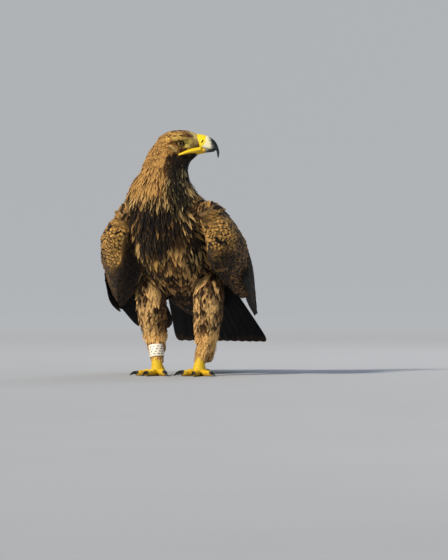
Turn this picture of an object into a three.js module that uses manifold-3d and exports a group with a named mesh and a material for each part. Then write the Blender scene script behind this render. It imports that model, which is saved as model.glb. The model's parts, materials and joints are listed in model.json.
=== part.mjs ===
// A life-size imperial eagle in chequered subadult plumage, standing with its head turned to its left.
// Millimetres, +Z up. The bird faces -Y, so its left is +X. The origin is the middle of the bounding
// box's base, and the flats under the toes stand on Z = 0.
// Every solid is the outline of the feathered bird: it reaches to the tips of the coat.
import * as THREE from "three";
import { mergeVertices } from "three/addons/utils/BufferGeometryUtils.js";
import Module from "manifold-3d";

const wasm = await Module();
wasm.setup();

// ---------------------------------------------------------------- driving dimensions
const GAP = 0.35; // between pieces that touch
const FACET_TOLERANCE = 0.2; // how far merging small faces may move a surface
const LEFT = 1;
const RIGHT = -1;
const SIDE_NAME = { [LEFT]: "left", [RIGHT]: "right" };

const HEAD_AT = [12, -48, 494.5]; // middle of the skull
const HEAD_TURN = 8; // degrees from +X towards +Y: the bill points over the left shoulder
const HEAD_CUT = 459; // level where head and neck are parted
const NECK_CUT = 381; // level where neck and trunk are parted
const RUMP_CUT = 168; // distance behind the feet where trunk and rump are parted

const EYE_RADIUS = 10;
const EYE_AT = { forward: 8.2, up: 2, out: 17.6 };

const TAIL_FEATHERS = 12;
const TAIL_ROOT = [-4, 168, 196];
const TAIL_TIP = [-8, 385, 66];
const TAIL_HALF_WIDTH = 108; // across the tips of the fan

const FOOT_OUT = 46; // from the middle of the stance to each foot
const STANCE = [-4.5, 16]; // the middle of the stance, under the bird's weight
const PALM = { high: 28, wide: 16, long: 19 };
const RING = { bottom: 39, height: 27, inner: 14.6, wall: 1.3 };

// The neck and trunk from the skull to the tail coverts: x, y, z, half width, reach to the breast side,
// reach to the back
const TORSO = [
  [-4, -47, 508, 24, 22, 22],
  [-10, -46, 491, 35, 27, 28],
  [-11, -47, 466, 48, 38, 38],
  [-14.5, -49, 440, 53, 43, 43],
  [-21, -52, 415, 66, 50, 50],
  [-18, -52, 390, 80, 60, 58],
  [-14, -44, 358, 92, 71, 66],
  [-9, -24, 318, 97, 84, 76],
  [-6, 14, 280, 96, 86, 78],
  [-4, 58, 246, 89, 80, 70],
  [-3, 104, 215, 77, 68, 56],
  [-2, 150, 190, 64, 58, 40],
  [-5, 203, 164, 50, 42, 22],
  [-8, 262, 132, 26, 13, 9],
];

// A feathered thigh, for the left leg: x, y, z, half width, reach forwards, reach backwards
const THIGH = [
  [54, 30, 240, 26, 30, 34],
  [63, 16, 200, 35, 42, 46],
  [65, 10, 165, 34, 37, 46],
  [63, 11, 130, 32, 30, 42],
  [59, 16, 98, 29, 24, 36],
  [57, 22, 68, 24, 17, 27],
  [57, 28, 44, 18, 10, 17],
  [58, 32, 28, 6, 4, 7],
];

// The feathered shank from the heel to the foot, for the left leg
const SHANK = [
  [60, 34, 122, 14, 12, 12],
  [57, 22, 92, 18, 16, 16],
  [54, 13, 66, 17.5, 16, 16],
  [51, 7, 44, 16.5, 15.5, 15.5],
  [48, 4, 27, 15, 14.5, 14.5],
];

// The folded wing as a sheet, for the left side. Each row crosses the wing from its lower to its upper
// edge: y, lower x, lower z, upper x, upper z, outward bulge, thickness of the covert layer
const WING = [
  [-94, 112, 268, 106, 306, 6, 34],
  [-64, 130, 228, 98, 362, 30, 58],
  [-2, 145, 197, 86, 376, 35, 60],
  [72, 144, 166, 68, 350, 34, 48],
  [150, 132, 147, 53, 300, 27, 30],
  [230, 120, 132, 48, 246, 15, 14],
  [300, 103, 123, 58, 187, 6, 8],
  [350, 83, 119, 76, 137, 1, 5],
];
// The shoulder feathers over the join of wing and back, for the left side: x, y, z, half width, reach
// down, reach up
const SCAPULARS = [
  [68, -76, 352, 10, 9, 8],
  [78, -58, 360, 32, 26, 20],
  [77, -6, 352, 38, 28, 20],
  [66, 50, 327, 35, 23, 16],
  [55, 108, 289, 29, 18, 12],
  [46, 160, 247, 18, 12, 8],
  [42, 188, 226, 6, 4, 3],
];
const WRIST_Y = -60; // where a loose wing swings out
const WING_EASE = { [LEFT]: 0, [RIGHT]: 13 }; // each wing's stand-off from the breast
const WING_SPLAY = { [LEFT]: 0, [RIGHT]: 7.5 }; // degrees that each wing's tip swings out
const WING_DROOP = { [LEFT]: 0, [RIGHT]: 3.4 }; // degrees that each wing's tip hangs down
const WING_DROP = { [LEFT]: 0, [RIGHT]: 10 }; // how much lower each wing is carried

// ---------------------------------------------------------------- small helpers
const vec = (p) => new THREE.Vector3(...p);
const radians = THREE.MathUtils.degToRad;

// A smooth value through rows of numbers, at t from 0 to 1 (Catmull-Rom)
function smoothRow(rows, t) {
  const last = rows.length - 1;
  const k = Math.min(Math.floor(t * last), last - 1);
  const f = t * last - k;
  const at = (i, c) => rows[THREE.MathUtils.clamp(i, 0, last)][c];
  return rows[0].map((_, c) => {
    const [a, b, d, e] = [at(k - 1, c), at(k, c), at(k + 1, c), at(k + 2, c)];
    return (
      b +
      0.5 * f * (d - a + f * (2 * a - 5 * b + 4 * d - e + f * (3 * (b - d) + e - a)))
    );
  });
}

// A closed geometry through rings of points. Each ring runs anticlockwise about the way the rings go
function ringGeometry(rings) {
  const sides = rings[0].length;
  const points = rings.flat();
  const middle = (ring) =>
    ring.reduce((sum, p) => sum.add(p), new THREE.Vector3()).divideScalar(sides);
  const first = points.push(middle(rings[0])) - 1;
  const last = points.push(middle(rings.at(-1))) - 1;
  const faces = [];
  for (let k = 0; k + 1 < rings.length; k++) {
    for (let i = 0; i < sides; i++) {
      const j = (i + 1) % sides;
      const [a, b] = [k * sides + i, k * sides + j];
      faces.push(a, b, b + sides, a, b + sides, a + sides);
    }
  }
  const top = (rings.length - 1) * sides;
  for (let i = 0; i < sides; i++) {
    const j = (i + 1) % sides;
    faces.push(first, j, i, last, top + i, top + j);
  }
  const geometry = new THREE.BufferGeometry().setFromPoints(points);
  geometry.setIndex(faces);
  return geometry;
}

function solidOf(geometry) {
  const bare = geometry.clone();
  bare.deleteAttribute("normal");
  bare.deleteAttribute("uv");
  const merged = mergeVertices(bare, 1e-4);
  return new wasm.Manifold(
    new wasm.Mesh({
      numProp: 3,
      vertProperties: merged.attributes.position.array,
      triVerts: new Uint32Array(merged.index.array),
    }),
  );
}

// The largest single body, without the crumbs that a cut leaves, and with its tiny faces merged
function mainBody(solid) {
  const bodies = solid.simplify(FACET_TOLERANCE).decompose();
  return bodies.sort((a, b) => b.volume() - a.volume())[0];
}

function geometryOf(solid) {
  const mesh = solid.getMesh();
  const places = new Float32Array(mesh.numVert * 3);
  for (let i = 0; i < mesh.numVert; i++) {
    places.set(mesh.vertProperties.subarray(i * mesh.numProp, i * mesh.numProp + 3), i * 3);
  }
  const geometry = new THREE.BufferGeometry();
  geometry.setAttribute("position", new THREE.BufferAttribute(places, 3));
  geometry.setIndex(new THREE.BufferAttribute(mesh.triVerts, 1));
  geometry.computeVertexNormals();
  return geometry;
}

const joined = (solids) => solids.reduce((sum, next) => sum.add(next));
const cutBy = (solid, cutters) => cutters.reduce((rest, cutter) => rest.subtract(cutter), solid);
const above = (solid, level) => solid.trimByPlane([0, 0, 1], level + GAP / 2);
const below = (solid, level) => solid.trimByPlane([0, 0, -1], -(level - GAP / 2));
const onFloor = (solid) => solid.trimByPlane([0, 0, 1], 0);

// Rings of ovals along a spine. rows: x, y, z, half width, reach one way, reach the other way. "across"
// is the way of the half width, and the first reach lies along spine x across. grow fattens it all round
function ovalRings(rows, { steps, sides, across, grow = 0 }) {
  const place = (t) => vec(smoothRow(rows, THREE.MathUtils.clamp(t, 0, 1)));
  return Array.from({ length: steps + 1 }, (_, k) => {
    const t = k / steps;
    const along = place(t + 0.01).sub(place(t - 0.01));
    along.addScaledVector(across, -along.dot(across)).normalize();
    const front = along.clone().cross(across).normalize();
    const [, , , wide, fore, back] = smoothRow(rows, t);
    const middle = place(t);
    if (k === 0) middle.addScaledVector(along, -grow);
    if (k === steps) middle.addScaledVector(along, grow);
    return Array.from({ length: sides }, (_, i) => {
      const angle = (2 * Math.PI * i) / sides;
      const reach = (Math.sin(angle) > 0 ? fore : back) + grow;
      return middle
        .clone()
        .addScaledVector(across, (wide + grow) * Math.cos(angle))
        .addScaledVector(front, reach * Math.sin(angle));
    });
  });
}

const ovalBody = (rows, options) => solidOf(ringGeometry(ovalRings(rows, options)));
const X_AXIS = new THREE.Vector3(1, 0, 0);

function ellipsoid(centre, radii, around = 10, rings = 7) {
  const ball = new THREE.SphereGeometry(1, around, rings);
  ball.scale(...radii);
  ball.translate(...centre);
  return solidOf(ball);
}

// ---------------------------------------------------------------- head and bill, in the head's own frame
// The head's frame: x forwards to the bill, y to the head's left, z up, origin in the middle of the skull
const CRANIUM = [
  [-43, 0, 4, 5, 6, 6],
  [-39, 0, 4, 17, 16, 17],
  [-28, 0, 2, 26, 24.5, 26],
  [-12, 0, 1, 30, 30.5, 30],
  [4, 0, 1, 30.5, 32, 28],
  [18, 0, 2, 27.5, 31, 25],
  [30, 0, 3, 22, 27.5, 22],
  [43, 0, 3, 14, 21.5, 15],
];

// The chin and throat, and one side's brow: x, y, z, half width, reach up, reach down
const CHIN = [
  [-30, 0, -24, 22, 20, 10],
  [-5, 0, -22, 24, 20, 10],
  [16, 0, -20, 19, 16, 10],
  [34, 0, -18, 11, 9, 8],
  [44, 0, -18.5, 5, 4, 5],
];
const BROW = [
  [-12, 22, 12, 4, 4, 4],
  [2, 24.5, 13.6, 6.5, 5.5, 5],
  [16, 23.5, 13.2, 6.4, 4.8, 5],
  [32, 16, 11.4, 4, 3, 4],
];
// The long hollow that holds the eye; toe is how far its front end turns in, in degrees
const ORBIT = { forward: 18, out: 35, up: 1, radii: [25, 13.5, 8.6], toe: 10 };

// The bill in profile: x and z on the ridge, x and z on the mouth line, half width there
const CERE = [
  [37, 24, 38, -12, 14.5],
  [46, 23.2, 47, -10.5, 14.3],
  [55, 22, 56, -9.6, 13.3],
  [62, 20.2, 62.5, -9.3, 12.2],
];
const UPPER_BILL = [
  [62, 20.2, 62.5, -9.3, 12],
  [70, 17.6, 69.5, -10.4, 10.8],
  [78, 12.9, 76.5, -11.6, 9.2],
  [85, 5.8, 82.5, -12.2, 7.4],
  [90, -3, 86.4, -13, 5.6],
  [93, -11.5, 88, -16.4, 4],
  [93.8, -19, 89, -21.2, 2.7],
  [92.9, -24.5, 90, -25.3, 1.5],
  [91.3, -28.6, 90.7, -28.7, 0.5],
];
const LOWER_BILL = [
  [32, -8, 34, -26, 12],
  [48, -7, 49, -21.6, 11],
  [62, -6, 62, -17.8, 9.4],
  [73, -8, 73, -15.8, 7],
  [81, -10, 81, -14.6, 4],
];
// One side of the fleshy gape: x, y, z, half width, reach up, reach down
const GAPE = [
  [2, 20.5, -21.8, 2.2, 1.6, 1.6],
  [13, 20.8, -18.8, 3, 2.8, 2.4],
  [27, 18, -14.8, 3.2, 3.8, 2.7],
  [40, 14, -11.2, 3.4, 4.6, 2.6],
  [54, 10.5, -8.6, 3.4, 4.2, 1.6],
];

// A blade-like body whose sections hang from a ridge line down to a mouth line
function bladeBody(rows, { steps, sides = 12, grow = 0, ridge = 0.78 }) {
  const spine = (t) => {
    const [ridgeX, ridgeZ, mouthX, mouthZ, wide] = smoothRow(rows, t);
    const top = new THREE.Vector3(ridgeX, 0, ridgeZ);
    const foot = new THREE.Vector3(mouthX, 0, mouthZ);
    return { top, foot, wide, middle: top.clone().lerp(foot, ridge) };
  };
  const rings = Array.from({ length: steps + 1 }, (_, k) => {
    const { top, foot, wide, middle } = spine(k / steps);
    const up = top.clone().sub(foot).normalize();
    const outwards = new THREE.Vector3();
    if (k === 0) outwards.copy(middle).sub(spine(0.1).middle).setLength(grow);
    if (k === steps) outwards.copy(middle).sub(spine(0.9).middle).setLength(grow);
    return Array.from({ length: sides }, (_, i) => {
      const angle = (2 * Math.PI * i) / sides;
      const height = Math.sin(angle) > 0 ? middle.distanceTo(top) : middle.distanceTo(foot);
      const point = middle.clone().addScaledVector(up, (height + grow) * Math.sin(angle));
      point.y = (wide + grow) * Math.cos(angle);
      return point.add(outwards);
    });
  });
  return solidOf(ringGeometry(rings));
}

// Moves a solid from the head's frame to the bird's
function headPlaced(solid) {
  return solid.rotate([0, 0, HEAD_TURN]).translate(HEAD_AT);
}

const Y_AXIS = new THREE.Vector3(0, 1, 0);
const cranium = ovalBody(CRANIUM, { steps: 9, sides: 13, across: Y_AXIS });
const browOf = (side) =>
  ovalBody(
    BROW.map(([x, y, ...rest]) => [x, side * y, ...rest]),
    { steps: 4, sides: 7, across: Y_AXIS },
  );
const chin = ovalBody(CHIN, { steps: 5, sides: 10, across: Y_AXIS });
const eyeAt = (side) => [EYE_AT.forward, side * EYE_AT.out, EYE_AT.up];
const eyeOf = (side, grow = 0) => ellipsoid(eyeAt(side), Array(3).fill(EYE_RADIUS + grow));
// The hollow round each eye and the lore in front of it, between brow and gape
const orbitOf = (side) =>
  ellipsoid([ORBIT.forward, side * ORBIT.out, ORBIT.up], ORBIT.radii, 8, 6).rotate([
    0,
    0,
    -side * ORBIT.toe,
  ]);

function gape(grow = 0) {
  const lips = [LEFT, RIGHT].map((side) =>
    ovalBody(
      GAPE.map(([x, y, ...rest]) => [x, side * y, ...rest]),
      { steps: 5, sides: 6, across: Y_AXIS, grow },
    ),
  );
  return joined([bladeBody(CERE, { steps: 3, grow }), ...lips]);
}

const lowerBill = (grow = 0) => bladeBody(LOWER_BILL, { steps: 5, sides: 8, grow, ridge: 0.4 });
const upperBill = (grow = 0) => bladeBody(UPPER_BILL, { steps: 10, sides: 10, grow });

// ---------------------------------------------------------------- neck, trunk and rump
const torso = (grow = 0) => ovalBody(TORSO, { steps: 17, sides: 17, across: X_AXIS, grow });

// ---------------------------------------------------------------- flat feathers
// The tip of each feather in a sheet: share of its width, and how far it falls short of the tip
const BROAD_TIP = [
  [0, 0.05],
  [0.28, 0.008],
  [0.72, 0.008],
];
const POINTED_TIP = [
  [0, 0.05],
  [0.55, 0],
];

// A closed sheet of feathers side by side. at(c, v, depth) gives its points: c counts feathers across,
// v runs from root to tip, and depth goes down from the outer face. reach(i) is feather i's length in v
function featherSheet({ feathers, tip, steps, thickness, at, reach, flip = false }) {
  const columns = Array.from({ length: feathers }, (_, i) =>
    tip.map(([share, short]) => {
      const end = share > 0 ? reach(i) : Math.min(reach(i), reach(Math.max(0, i - 1)));
      return [i + share, end - short];
    }),
  ).flat();
  columns.push([feathers, reach(feathers - 1) - tip[0][1]]);
  const rings = columns.map(([c, end]) => {
    const run = (depth) => Array.from({ length: steps + 1 }, (_, k) => at(c, (end * k) / steps, depth));
    const ring = [...run(thickness), ...run(0).reverse()];
    return flip ? ring.reverse() : ring;
  });
  return solidOf(ringGeometry(rings));
}

// ---------------------------------------------------------------- tail
const TAIL_ROOT_HALF = 74; // half the width of the fan at its root
function tailFan() {
  const root = vec(TAIL_ROOT);
  const down = vec(TAIL_TIP).sub(root);
  const length = down.length();
  down.normalize();
  const sideways = X_AXIS.clone().addScaledVector(down, -down.x).normalize();
  const up = sideways.clone().cross(down).normalize();
  const spread = Math.asin((TAIL_HALF_WIDTH - TAIL_ROOT_HALF) / length);
  const at = (c, v, depth) => {
    const share = (2 * c) / TAIL_FEATHERS - 1; // -1 at the right edge, 1 at the left
    const angle = spread * share;
    const arch = 3 - 12 * share * share * v + 6 * v * (1 - v);
    return root
      .clone()
      .addScaledVector(sideways, TAIL_ROOT_HALF * share + length * v * Math.sin(angle))
      .addScaledVector(down, length * v * Math.cos(angle))
      .addScaledVector(up, arch - depth);
  };
  const reach = (i) => 1 - 0.045 * ((2 * i + 1) / TAIL_FEATHERS - 1) ** 2;
  return featherSheet({ feathers: TAIL_FEATHERS, tip: BROAD_TIP, steps: 3, thickness: 4, at, reach });
}

// ---------------------------------------------------------------- wings
// A point on a wing's outer sheet: s from the wrist to the tip, t from the lower to the upper edge,
// depth in millimetres inwards from the sheet
function wingPoint(side, s, t, depth = 0) {
  const [y, lowX, lowZ, highX, highZ, bulge] = smoothRow(WING, THREE.MathUtils.clamp(s, 0, 1));
  const chord = new THREE.Vector2(highX - lowX, highZ - lowZ);
  const out = new THREE.Vector2(chord.y, -chord.x).normalize();
  const lift = 4 * bulge * t * (1 - t) - depth;
  const x = lowX + chord.x * t + out.x * lift;
  const z = lowZ + chord.y * t + out.y * lift;
  const swing = radians(WING_SPLAY[side]) * (1 - 0.5 * t); // the upper edge stays nearer the back
  const behind = y - WRIST_Y;
  return new THREE.Vector3(
    side * (x + WING_EASE[side] + behind * Math.sin(swing)),
    WRIST_Y + behind * Math.cos(swing),
    z - WING_DROP[side] * (1 - t) - behind * Math.tan(radians(WING_DROOP[side])),
  );
}

// The feathered arm: the thick front of the wing, from the wrist back to the rounded ends of the coverts
const ARM_END = 0.64;
const ARM_NOSE = 0.113; // share of the arm over which its front rounds off
const ARM_HEEL = 0.455; // share over which its rear does
const ARM_RIDGE = 0.62; // how far up the wing its ends close
const rounding = (short, span, least) =>
  Math.sqrt(Math.max(least, 1 - (Math.max(0, short) / span) ** 2));

function wingArm(side, grow = 0) {
  const steps = 9;
  const sides = 12;
  const rings = Array.from({ length: steps + 1 }, (_, k) => {
    const u = k / steps;
    const s = ARM_END * u;
    const front = rounding(ARM_NOSE - u, ARM_NOSE, 0.05);
    const rear = rounding(u - 1 + ARM_HEEL, ARM_HEEL, 0.02);
    const closing = front * rear;
    const thickness = smoothRow(WING, s)[6] * (0.25 + 0.75 * closing);
    const low = ARM_RIDGE * (1 - closing);
    const high = ARM_RIDGE + (1 - ARM_RIDGE) * closing;
    const slack = grow / 110;
    const outwards = grow * ((k === steps) - (k === 0));
    return Array.from({ length: sides }, (_, i) => {
      const angle = (-side * 2 * Math.PI * i) / sides;
      const t = THREE.MathUtils.lerp(low - slack, high + slack, 0.5 - 0.5 * Math.cos(angle));
      const depth = (thickness * (1 - Math.sin(angle))) / 2;
      const point = wingPoint(side, s, t, depth - grow * Math.sin(angle));
      point.y += outwards;
      return point;
    });
  });
  return solidOf(ringGeometry(rings));
}

// Flight feathers as a sheet within the wing's own. root and tip give [s, t] at a share of the way up
const PRIMARIES = 7;
const SECONDARIES = 6;
function wingSheet(side, { feathers, steps, root, tip, rootDepth, depth }) {
  const at = (c, v, below) => {
    const share = c / feathers;
    const [s0, t0] = root(share);
    const [s1, t1] = tip(share);
    const sunk = THREE.MathUtils.lerp(rootDepth, depth, THREE.MathUtils.smoothstep(v, 0, 0.45));
    const s = THREE.MathUtils.lerp(s0, s1, v);
    return wingPoint(side, s, THREE.MathUtils.lerp(t0, t1, 0.65 * v + 0.35 * v * v), sunk + below);
  };
  const sheet = { feathers, tip: POINTED_TIP, steps, thickness: 2.6, at, reach: () => 1 };
  return featherSheet({ ...sheet, flip: side === LEFT });
}

const primaries = (side) =>
  wingSheet(side, {
    feathers: PRIMARIES,
    steps: 4,
    root: (share) => [0.34, 0.12 + 0.3 * share],
    tip: (share) => [0.7 + 0.29 * Math.sin(1.9 * share), 0.02 + 0.66 * share ** 1.3],
    rootDepth: 18,
    depth: 7,
  });

const secondaries = (side) =>
  wingSheet(side, {
    feathers: SECONDARIES,
    steps: 3,
    root: (share) => [0.44, 0.3 + 0.6 * share],
    tip: (share) => [0.86 - 0.07 * share, 0.26 + 0.72 * share],
    rootDepth: 12,
    depth: 2.5,
  });

// The shoulder feathers that bridge the wing and the back
function scapulars(side, grow = 0) {
  const rows = SCAPULARS.map(([x, ...rest]) => [side * (x + 0.8 * WING_EASE[side]), ...rest]);
  return ovalBody(rows, { steps: 7, sides: 10, across: X_AXIS, grow });
}

// ---------------------------------------------------------------- legs and feet
const sided = (rows, side) =>
  rows.map(([x, y, ...rest]) => [STANCE[0] + side * x, STANCE[1] + y, ...rest]);
const thigh = (side, grow = 0) =>
  ovalBody(sided(THIGH, side), { steps: 9, sides: 12, across: X_AXIS, grow });
const shank = (side, grow = 0) =>
  ovalBody(sided(SHANK, side), { steps: 6, sides: 12, across: X_AXIS, grow });

// Toes and claws of the left foot: the way they point in degrees outwards from straight ahead, the
// toe's length and its claw's reach
const TOES = {
  inner: { turn: -34, length: 40, claw: 25, radius: 8 },
  middle: { turn: 6, length: 57, claw: 22, radius: 7.8 },
  outer: { turn: 47, length: 45, claw: 19, radius: 7.4 },
  hind: { turn: 170, length: 31, claw: 28, radius: 8.2 },
};
const TOE_ROOT = 8; // how far from the palm's middle each toe starts
const palmAt = (side, z = 0) =>
  new THREE.Vector3(STANCE[0] + side * FOOT_OUT, STANCE[1] + 2, z);

const palm = (side, grow = 0) =>
  onFloor(
    ellipsoid(
      palmAt(side, PALM.high / 2 - 1).toArray(),
      [PALM.wide + grow, PALM.long + grow, PALM.high / 2 + 1 + grow],
      9,
      6,
    ),
  );

// Unit vector on the floor, so many degrees outwards from straight ahead
function heading(side, turn) {
  const angle = radians(turn);
  return new THREE.Vector3(side * Math.sin(angle), -Math.cos(angle), 0);
}

// A toe with a swelling at each pad, flat beneath
function toe(side, { turn, length, radius }, grow = 0) {
  const ahead = heading(side, turn);
  const start = palmAt(side).addScaledVector(ahead, TOE_ROOT);
  const rows = Array.from({ length: 8 }, (_, k) => {
    const v = k / 7;
    const pads = 1 + 0.09 * Math.cos(v * Math.PI * 5);
    const thick = radius * (1 - 0.2 * v) * pads * Math.sqrt(Math.max(0.2, 1 - (1.08 * v) ** 10));
    const middle = start.clone().addScaledVector(ahead, length * v);
    return [middle.x, middle.y, 0.86 * thick + 0.6 * v, thick, thick, thick];
  });
  const across = new THREE.Vector3(0, 0, 1).cross(ahead);
  return onFloor(ovalBody(rows, { steps: 6, sides: 6, across, grow }));
}

// A curved claw that leaves the toe's end almost level and comes down to the floor
const CLAW_BEND = 96; // degrees from root to point
const CLAW_LEAN = 18; // degrees that the root rises
function claw(side, { turn, length, claw: reach, radius }) {
  const ahead = heading(side, turn);
  const root = palmAt(side).addScaledVector(ahead, TOE_ROOT + length - 5);
  const [bend, lean] = [radians(CLAW_BEND), radians(CLAW_LEAN)];
  const bow = reach / (Math.sin(bend - lean) + Math.sin(lean));
  const rows = Array.from({ length: 6 }, (_, k) => {
    const v = k / 5;
    const angle = bend * v - lean;
    const middle = root.clone().addScaledVector(ahead, bow * (Math.sin(angle) + Math.sin(lean)));
    const thick = 0.56 * radius * (1 - v) ** 0.75 + 0.5;
    const drop = 0.52 * bow * (Math.cos(angle) - Math.cos(bend - lean));
    return [middle.x, middle.y, drop + 0.9, thick * 0.8, thick, thick];
  });
  const across = new THREE.Vector3(0, 0, 1).cross(ahead);
  return onFloor(ovalBody(rows, { steps: 4, sides: 5, across }));
}

// A band round the right shank, between two radii, some way longer than the ring at each end
function bandRound(inner, outer, longer) {
  const corners = [
    [inner, -longer],
    [outer, -longer],
    [outer, RING.height + longer],
    [inner, RING.height + longer],
    [inner, -longer],
  ].map(([x, y]) => new THREE.Vector2(x, y));
  const band = new THREE.LatheGeometry(corners, 16);
  band.rotateX(Math.PI / 2);
  const [low, high] = [0.9, 0.55].map((t) => vec(smoothRow(sided(SHANK, RIGHT), t)));
  const axis = high.clone().sub(low).normalize();
  const upright = new THREE.Vector3(0, 0, 1);
  band.applyQuaternion(new THREE.Quaternion().setFromUnitVectors(upright, axis));
  const start = low.addScaledVector(axis, (RING.bottom - low.z) / axis.z);
  band.translate(start.x, start.y, start.z);
  return solidOf(band);
}

const RING_OUTER = RING.inner + RING.wall;
const legRing = () => bandRound(RING.inner, RING_OUTER, 0);

// The room that the ring takes: it presses the shank's feathers in, and the trousers part behind it
const ringWaist = () => bandRound(RING.inner - GAP, 3 * RING_OUTER, GAP);
const ringRoom = () => bandRound(0, RING_OUTER + GAP, GAP);

// ---------------------------------------------------------------- materials
const finish = (color, roughness, metalness = 0) =>
  new THREE.MeshStandardMaterial({ color, roughness, metalness });
const MATERIALS = {
  tawny: finish(0xa8793f, 0.85),
  brown: finish(0x4a3220, 0.85),
  dark: finish(0x241a14, 0.8),
  horn: finish(0x23262b, 0.35),
  yellow: finish(0xe8b820, 0.5),
  iris: finish(0x7a4a1c, 0.1),
  ring: finish(0xe9e4d8, 0.4),
};

// ---------------------------------------------------------------- assembly
const bird = new THREE.Group();

function addPiece(group, name, solid, material) {
  const mesh = new THREE.Mesh(geometryOf(mainBody(solid)), MATERIALS[material]);
  mesh.name = name;
  group.add(mesh);
}

const region = () => {
  const group = new THREE.Group();
  bird.add(group);
  return group;
};

function addHead() {
  const group = region();
  const put = (name, solid, material) => addPiece(group, name, solid, material);
  const eyes = [LEFT, RIGHT];
  const skull = cutBy(joined([cranium, chin, ...eyes.map(browOf)]), eyes.map(orbitOf));
  const bare = [gape(GAP), lowerBill(GAP), upperBill(GAP), ...eyes.map((side) => eyeOf(side, GAP))];
  const feathered = headPlaced(skull).add(torso());
  put("head", above(cutBy(feathered, bare.map(headPlaced)), HEAD_CUT), "tawny");
  eyes.forEach((side) => put(`eye_${SIDE_NAME[side]}`, headPlaced(eyeOf(side)), "iris"));
  put("cere", headPlaced(gape()), "yellow");
  put("bill_upper", headPlaced(cutBy(upperBill(), [gape(GAP)])), "horn");
  put("bill_lower", headPlaced(cutBy(lowerBill(), [gape(GAP), upperBill(GAP)])), "horn");
}

function addTrunk() {
  const group = region();
  const whole = torso();
  const neckHead = headPlaced(cranium.add(chin)).add(whole);
  addPiece(group, "neck", above(below(neckHead, HEAD_CUT), NECK_CUT), "tawny");
  const body = below(whole, NECK_CUT);
  const behind = RUMP_CUT + GAP / 2;
  addPiece(group, "trunk", body.trimByPlane([0, -1, 0], -(RUMP_CUT - GAP / 2)), "brown");
  addPiece(group, "rump", body.trimByPlane([0, 1, 0], behind), "brown");
  addPiece(group, "tail", cutBy(tailFan(), [torso(GAP)]), "dark");
}

function addWing(side) {
  const group = region();
  const name = SIDE_NAME[side];
  const body = torso(GAP).add(thigh(side, GAP));
  const roof = scapulars(side, GAP);
  const arm = wingArm(side, GAP);
  const put = (piece, solid, material) => addPiece(group, `wing_${name}_${piece}`, solid, material);
  addPiece(group, `scapulars_${name}`, cutBy(scapulars(side), [torso(GAP)]), "brown");
  put("coverts", cutBy(wingArm(side), [body, roof]), "tawny");
  put("secondaries", cutBy(secondaries(side), [body, arm, roof]), "dark");
  put("primaries", cutBy(primaries(side), [body, arm]), "dark");
}

function addLeg(side) {
  const group = region();
  const name = SIDE_NAME[side];
  const put = (piece, solid, material) => addPiece(group, piece, solid, material);
  const palmFat = palm(side, GAP);
  const ringed = side === RIGHT;
  const [waist, room] = ringed ? [[ringWaist()], [ringRoom()]] : [[], []];
  put(`thigh_${name}`, cutBy(thigh(side), [torso(GAP), ...room]), "tawny");
  put(`shank_${name}`, cutBy(shank(side), [thigh(side, GAP), palmFat, ...waist]), "tawny");
  put(`foot_${name}`, palm(side), "yellow");
  Object.entries(TOES).forEach(([toeName, size]) => {
    const others = Object.entries(TOES)
      .filter(([other]) => other < toeName)
      .map(([, otherSize]) => toe(side, otherSize, GAP));
    put(`toe_${name}_${toeName}`, cutBy(toe(side, size), [palmFat, ...others]), "yellow");
    put(`claw_${name}_${toeName}`, cutBy(claw(side, size), [toe(side, size, GAP)]), "horn");
  });
}

addHead();
addTrunk();
[LEFT, RIGHT].forEach((side) => {
  addWing(side);
  addLeg(side);
});
addPiece(region(), "leg_ring", legRing(), "ring");

// The origin goes to the middle of the bounding box's base
const box = new THREE.Box3().setFromObject(bird, true);
const middle = box.getCenter(new THREE.Vector3());
bird.position.set(-middle.x, -middle.y, -box.min.z);

export default bird;
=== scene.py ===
"""A life-size imperial eagle in chequered young plumage, standing with its head turned to its left.

One skin runs from the brow to the ankles and lies inside the outline by the coat's depth. Feathers grow
from it: Geometry Nodes lay the body's feathers along the lie of the coat, and the quills of wing and
tail are made one by one. Numbers are millimetres in the bird's own frame, where it faces -Y and its
left is +X; at() turns them into metres in the model's frame.
"""

import json
import math

import bmesh
import bpy
import numpy as np
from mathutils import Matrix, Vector
from mathutils.bvhtree import BVHTree
from mathutils.kdtree import KDTree


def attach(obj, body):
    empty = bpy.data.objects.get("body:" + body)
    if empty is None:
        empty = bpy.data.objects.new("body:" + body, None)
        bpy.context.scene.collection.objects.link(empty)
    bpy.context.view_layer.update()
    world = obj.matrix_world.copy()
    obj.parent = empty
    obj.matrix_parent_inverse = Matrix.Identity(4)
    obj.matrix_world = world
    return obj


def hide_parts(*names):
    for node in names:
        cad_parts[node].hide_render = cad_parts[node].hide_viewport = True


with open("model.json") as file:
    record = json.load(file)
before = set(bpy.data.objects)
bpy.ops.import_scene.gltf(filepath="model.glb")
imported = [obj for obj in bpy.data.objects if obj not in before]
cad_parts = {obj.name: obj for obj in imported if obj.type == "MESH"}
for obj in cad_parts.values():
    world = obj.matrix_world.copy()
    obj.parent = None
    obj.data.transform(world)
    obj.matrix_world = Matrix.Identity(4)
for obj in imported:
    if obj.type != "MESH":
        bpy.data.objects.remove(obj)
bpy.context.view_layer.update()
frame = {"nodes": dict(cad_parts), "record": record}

# ------------------------------------------------------------------ driving values
MM = 0.001
MERGE = 1e-6  # metres within which points are one
LEFT, RIGHT = 1, -1
SIDE_NAME = {LEFT: "left", RIGHT: "right"}
X, Y, Z = np.eye(3)

STANCE = np.array([-4.5, 18.0, 0.0])  # the middle between the soles
FOOT_OUT = 46  # from there to the middle of each sole
LEGS_AT = (STANCE[0], STANCE[1] - 2)  # the legs' rows are measured from here
SOLES = [m["pos_m"] for m in frame["record"]["mounts"] if m["name"].endswith("_foot")]
ORIGIN = np.mean(SOLES, axis=0) - STANCE * MM

HEAD_AT = np.array([12.0, -48.0, 494.5])  # middle of the skull
HEAD_TURN = 8  # degrees from +X towards +Y: the bill points over the left shoulder

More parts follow.
